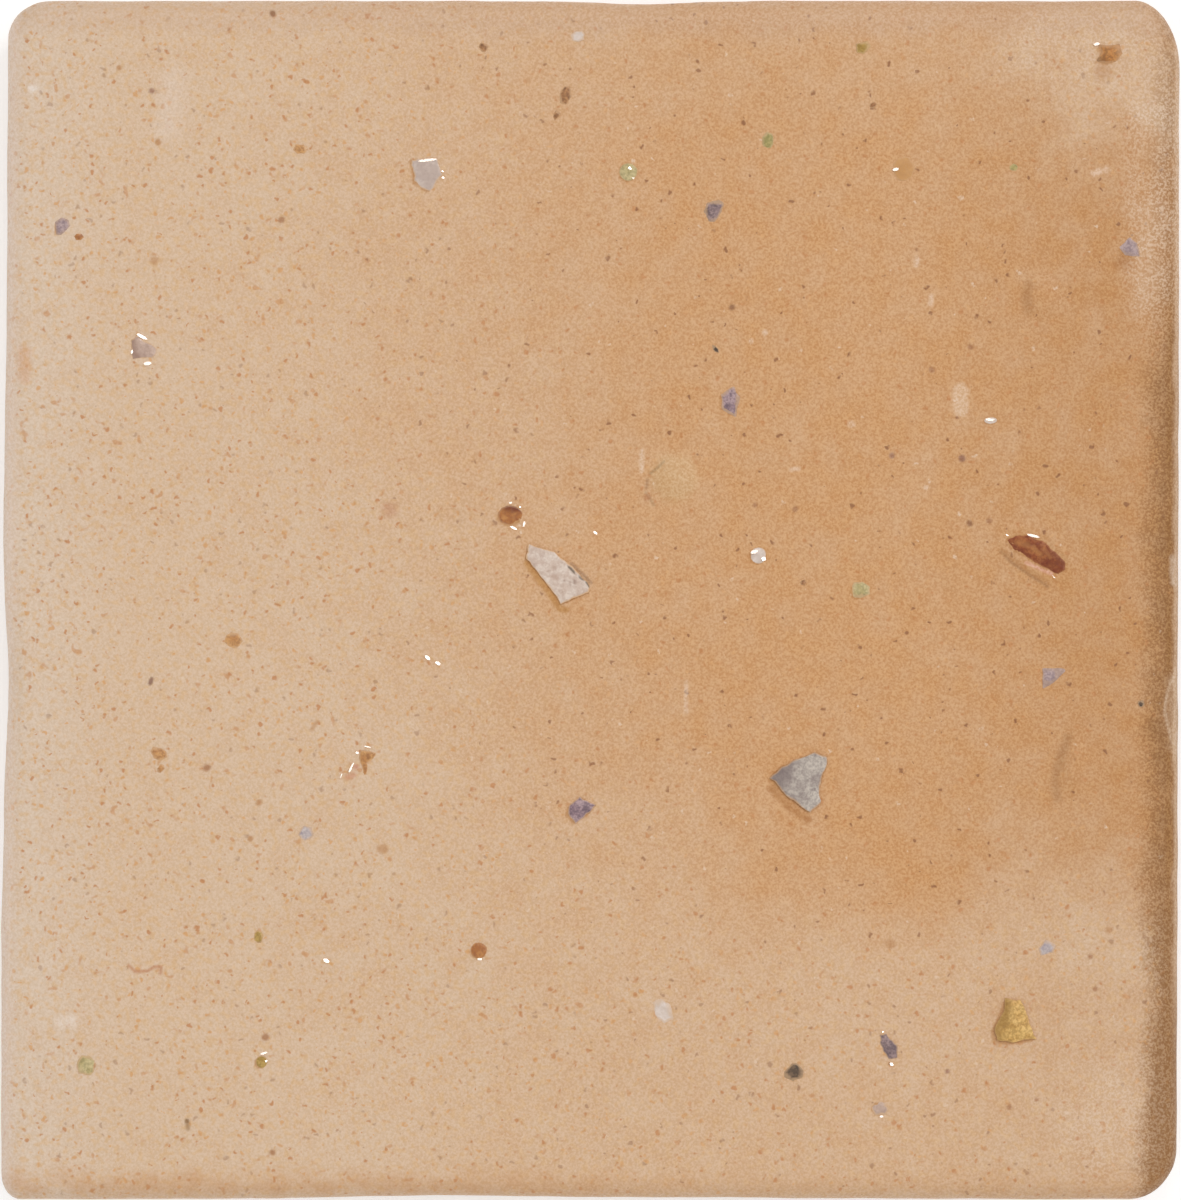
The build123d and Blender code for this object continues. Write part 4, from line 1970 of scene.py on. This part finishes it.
@dataclass(frozen=True)
class StoneFinish:
    """A stone's own colours: its body, a cloudy tint and dark flecks, with a gloss.

    Clay smears over its rim by the cover, and it darkens by the dusk on its dark side: painted
    shade on stones whose dark side faces away from the lights, their own darker tone on the rest.
    """

    name: str
    body: Colour
    cloud: Colour
    fleck: Colour
    cloud_spacing: float = 1.4
    speckle: float = 0.6
    roughness: float = 0.45
    smear: Colour = (208, 170, 130)
    shade_and_dark_tone: float = 0.7
    cover: float = 0.6
    coarse: float = 0.42
    fine: float = 0.2
    speck_cell: float = 0.9
    speck_range: Place = (0.68, 0.8)
    cloud_range: Place = (0.4, 0.62)
    smear_range: Place = (0.45, 1.05)
    smear_fray: float = 1.2
    gloss_spread: float = 0.08
    specular: float = 0.3
    bump: float = 0.3
    bump_depth: float = 0.08

    def build(self, effects: SharedEffects) -> bpy.types.Material:
        """Wire the finish.

        Args:
            effects: The shared node groups.

        Returns:
            The stone's material.
        """
        material = bpy.data.materials.new(self.name + "_stone")
        material.use_nodes = True
        sheet = NodeSheet(material.node_tree)
        shader = material.node_tree.nodes["Principled BSDF"]
        coords = sheet.tilt(sheet.node("TexCoord").outputs["Object"])
        clouds = sheet.noise(coords, self.cloud_spacing, 3.0)
        share = sheet.remap(clouds.outputs["Fac"], *self.cloud_range)
        colour = sheet.mix(share, linear(self.body), linear(self.cloud))
        sand = sheet.group(effects.sand, Vector=coords, Coarse=self.coarse, Fine=self.fine)
        tone = sheet.math("MULTIPLY", sheet.math("SUBTRACT", 1.0, sand.outputs["Tone"]), self.speckle)
        colour = sheet.mix(tone, colour, linear(self.fleck))
        low, high = self.speck_range
        specks = sheet.group(effects.specks, Vector=coords, Cell=self.speck_cell, Start=low, End=high)
        share = sheet.math("MULTIPLY", specks.outputs["Mask"], self.speckle)
        colour = sheet.mix(share, colour, linear(self.fleck))
        shade_and_dark_tone = sheet.node("Attribute", attribute_name="shade_and_dark_tone").outputs["Fac"]
        # Darken the dark side: painted shade on some stones, their own darker tone on others.
        colour = sheet.mix(sheet.math("MULTIPLY", shade_and_dark_tone, self.shade_and_dark_tone), colour, linear(self.fleck))
        rim = sheet.node("Attribute", attribute_name="rim").outputs["Fac"]
        fray = sheet.math("SUBTRACT", clouds.outputs["Fac"], 0.5)
        edge = sheet.math("ADD", rim, sheet.math("MULTIPLY", fray, self.smear_fray))
        smeared = sheet.remap(edge, *self.smear_range, 0.0, self.cover)
        colour = sheet.mix(smeared, colour, linear(self.smear))
        sheet.feed(shader.inputs["Base Color"], sheet.painted(colour))
        dull, shiny = self.roughness + self.gloss_spread, self.roughness - self.gloss_spread
        gloss = sheet.remap(sand.outputs["Tone"], 0.0, 1.0, dull, shiny)
        sheet.feed(shader.inputs["Roughness"], gloss)
        shader.inputs["Specular IOR Level"].default_value = self.specular
        bump = sheet.node("Bump")
        bump.inputs["Strength"].default_value = self.bump
        bump.inputs["Distance"].default_value = self.bump_depth * MM
        sheet.feed(bump.inputs["Height"], sand.outputs["Height"])
        sheet.feed(shader.inputs["Normal"], bump.outputs[0])
        return material


STONE_FINISHES = [
    StoneFinish(
        "flint", (220, 203, 189), (205, 183, 167), (168, 136, 118),
        cloud_spacing=1.0, speckle=0.3, cover=0.95,
    ),
    StoneFinish(
        "slate", (196, 184, 171), (164, 150, 141), (114, 98, 96),
        2.6, speckle=0.45, smear=(196, 152, 108), shade_and_dark_tone=0.55,
    ),
    StoneFinish(
        "rust", (164, 98, 52), (142, 72, 36), (108, 46, 22),
        0.9, smear=(176, 116, 70), shade_and_dark_tone=0.45, cover=0.4,
    ),
    StoneFinish(
        "ochre", (224, 183, 112), (211, 166, 95), (152, 114, 58),
        0.9, smear=(204, 164, 112), cover=0.3,
    ),
    StoneFinish(
        "milky", (202, 184, 172), (190, 170, 158), (164, 142, 132),
        speckle=0.35, roughness=0.3, cover=0.7,
    ),
    StoneFinish(
        "smoky", (202, 175, 158), (188, 161, 146), (146, 114, 98),
        speckle=0.35, roughness=0.3, cover=0.7,
    ),
    StoneFinish("plum", (160, 135, 132), (129, 108, 109), (76, 62, 66)),
    StoneFinish("amber", (206, 155, 100), (189, 134, 82), (146, 99, 62), roughness=0.35),
    StoneFinish("russet", (197, 136, 74), (178, 113, 54), (126, 86, 50), 0.9, shade_and_dark_tone=0.4, cover=0.4),
    StoneFinish("heather", (178, 151, 152), (150, 124, 129), (86, 68, 80)),
    StoneFinish("lilac", (185, 161, 157), (159, 137, 137), (122, 102, 108), cover=0.3),
    StoneFinish(
        "honey", (202, 153, 100), (196, 146, 93), (172, 124, 78),
        speckle=0.3, roughness=0.3, cover=0.35,
    ),
    StoneFinish("white", (222, 206, 196), (207, 190, 178), (190, 168, 148), speckle=0.4, roughness=0.3),
    StoneFinish("umber", (182, 132, 88), (158, 110, 72), (112, 76, 50)),
    StoneFinish("green", (180, 162, 104), (158, 146, 88), (112, 108, 64), speckle=0.5),
    StoneFinish("moss", (202, 184, 136), (182, 164, 112), (130, 118, 78), speckle=0.5),
    StoneFinish("jet", (122, 98, 77), (94, 74, 59), (54, 46, 40)),
    StoneFinish("pearl", (200, 186, 180), (180, 166, 166), (142, 128, 134), speckle=0.5),
    StoneFinish("olive", (190, 156, 88), (172, 136, 66), (126, 98, 48), speckle=0.5),
    StoneFinish(
        "sienna", (190, 132, 78), (174, 113, 64), (112, 52, 28),
        1.0, 0.35, 0.3, cover=0.3, shade_and_dark_tone=0.9,
    ),
]


@dataclass(frozen=True)
class SealerFinish:
    """Clear sealer in a dried drop: the clay shows through it, with a wet gloss."""

    deep: Colour = (196, 156, 116)
    thin: Colour = (214, 182, 148)
    roughness: float = 0.06
    coat_roughness: float = 0.04
    ior: float = 2.0
    coarse: float = 0.5
    fine: float = 0.24

    def build(self, effects: SharedEffects) -> bpy.types.Material:
        """Wire the finish.

        Args:
            effects: The shared node groups.

        Returns:
            The sealer's material.
        """
        material = bpy.data.materials.new("clear_sealer")
        material.use_nodes = True
        sheet = NodeSheet(material.node_tree)
        shader = material.node_tree.nodes["Principled BSDF"]
        coords = sheet.node("TexCoord").outputs["Object"]
        sand = sheet.group(effects.sand, Vector=coords, Coarse=self.coarse, Fine=self.fine)
        colour = sheet.mix(sand.outputs["Tone"], linear(self.deep), linear(self.thin))
        sheet.feed(shader.inputs["Base Color"], colour)
        shader.inputs["Roughness"].default_value = self.roughness
        shader.inputs["IOR"].default_value = self.ior
        shader.inputs["Coat Weight"].default_value = 1.0
        shader.inputs["Coat Roughness"].default_value = self.coat_roughness
        return material


# The studio.


@dataclass(frozen=True)
class Softbox:
    """A square softbox: its bearing round the tile, in degrees, and its power in watts."""

    name: str
    bearing: float
    power: float


@dataclass
class Studio:
    """A pale floor, four softboxes, an even sky and a camera that looks straight down."""

    frame_height: float = 152.06
    lens: float = 300.0
    sensor: float = 36.0
    focus_height: float = 13.0
    floor_size: float = 3000.0
    sky: float = 0.68
    floor_drop: float = 0.1
    floor_tone: float = 0.9
    floor_roughness: float = 0.8
    floor_glow: float = 0.25
    light_slope: float = 1.5
    softbox_distance: float = 3.0
    softbox_size: float = 0.75
    softboxes: tuple[Softbox, ...] = (
        Softbox("right_softbox", 0.0, 8.3),
        Softbox("key_softbox", 48.0, 14.1),
        Softbox("back_softbox", 95.0, 8.3),
        Softbox("fill_softbox", 228.0, 5.1),
    )

    def lay_floor(self) -> None:
        """Lay the pale floor under the tile."""
        start_fresh()
        bpy.ops.mesh.primitive_plane_add(size=self.floor_size * MM, location=(0, 0, -self.floor_drop * MM))
        floor = bpy.context.object
        floor.name = "pale_floor"
        material = bpy.data.materials.new("pale_floor")
        material.use_nodes = True
        sheet = NodeSheet(material.node_tree)
        shader = material.node_tree.nodes["Principled BSDF"]
        shader.inputs["Base Color"].default_value = (*[self.floor_tone] * 3, 1)
        shader.inputs["Roughness"].default_value = self.floor_roughness
        rays = sheet.node("LightPath")
        seen = sheet.math("ADD", rays.outputs["Is Camera Ray"], rays.outputs["Is Glossy Ray"])
        seen = sheet.math("ADD", seen, rays.outputs["Is Transmission Ray"], clamp=True)
        shader.inputs["Emission Color"].default_value = (1, 1, 1, 1)
        sheet.feed(shader.inputs["Emission Strength"], sheet.math("MULTIPLY", seen, self.floor_glow))
        floor.data.materials.append(material)

    def hang_softbox(self, box: Softbox) -> None:
        """Hang a softbox so that it faces the tile.

        Args:
            box: The softbox to hang.
        """
        lamp = bpy.data.lights.new(box.name, "AREA")
        lamp.shape = "SQUARE"
        lamp.size = self.softbox_size
        lamp.energy = box.power
        holder = bpy.data.objects.new(box.name, lamp)
        bearing = math.radians(box.bearing)
        heading = Vector((math.cos(bearing), math.sin(bearing), self.light_slope)).normalized()
        holder.location = heading * self.softbox_distance
        holder.rotation_euler = heading.to_track_quat("Z", "Y").to_euler()
        bpy.context.scene.collection.objects.link(holder)

    def fill_sky(self) -> None:
        """Light the tile evenly from all round."""
        world = bpy.context.scene.world or bpy.data.worlds.new("studio")
        bpy.context.scene.world = world
        world.use_nodes = True
        sky = world.node_tree.nodes["Background"]
        sky.inputs["Color"].default_value = (1, 1, 1, 1)
        sky.inputs["Strength"].default_value = self.sky

    def set_camera(self) -> None:
        """Look straight down, with the tile's length filling the frame's height."""
        camera = bpy.data.cameras.new("camera")
        camera.lens = self.lens
        camera.sensor_width = self.sensor
        holder = bpy.data.objects.new("camera", camera)
        distance = self.frame_height * self.lens / self.sensor
        holder.location = (0, 0, (self.focus_height + distance) * MM)
        bpy.context.scene.collection.objects.link(holder)
        bpy.context.scene.camera = holder

    def build(self) -> None:
        """Set up the whole studio."""
        bpy.context.scene.view_settings.view_transform = "Standard"
        self.lay_floor()
        self.fill_sky()
        for box in self.softboxes:
            self.hang_softbox(box)
        self.set_camera()


def main() -> None:
    """Build the tile, its stones and the studio, in that order."""
    logging.basicConfig(level=logging.INFO, format="%(name)s: %(message)s")
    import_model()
    effects = SharedEffects()
    relief = FaceRelief()

    paint = ClayPaint(relief.width / 2, relief.length / 2)
    body = ClayBody(relief, STONES, paint).build()
    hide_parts("tile")
    deliver(body, ClayFinish().build(effects))

    by_finish = StoneBed(relief).build()
    for finish in STONE_FINISHES:
        material = finish.build(effects)
        for piece in by_finish[finish.name]:
            deliver(piece, material)
    deliver(SealerDrops(relief).build(), SealerFinish().build(effects))

    Studio().build()


if __name__ == "__main__":
    main()
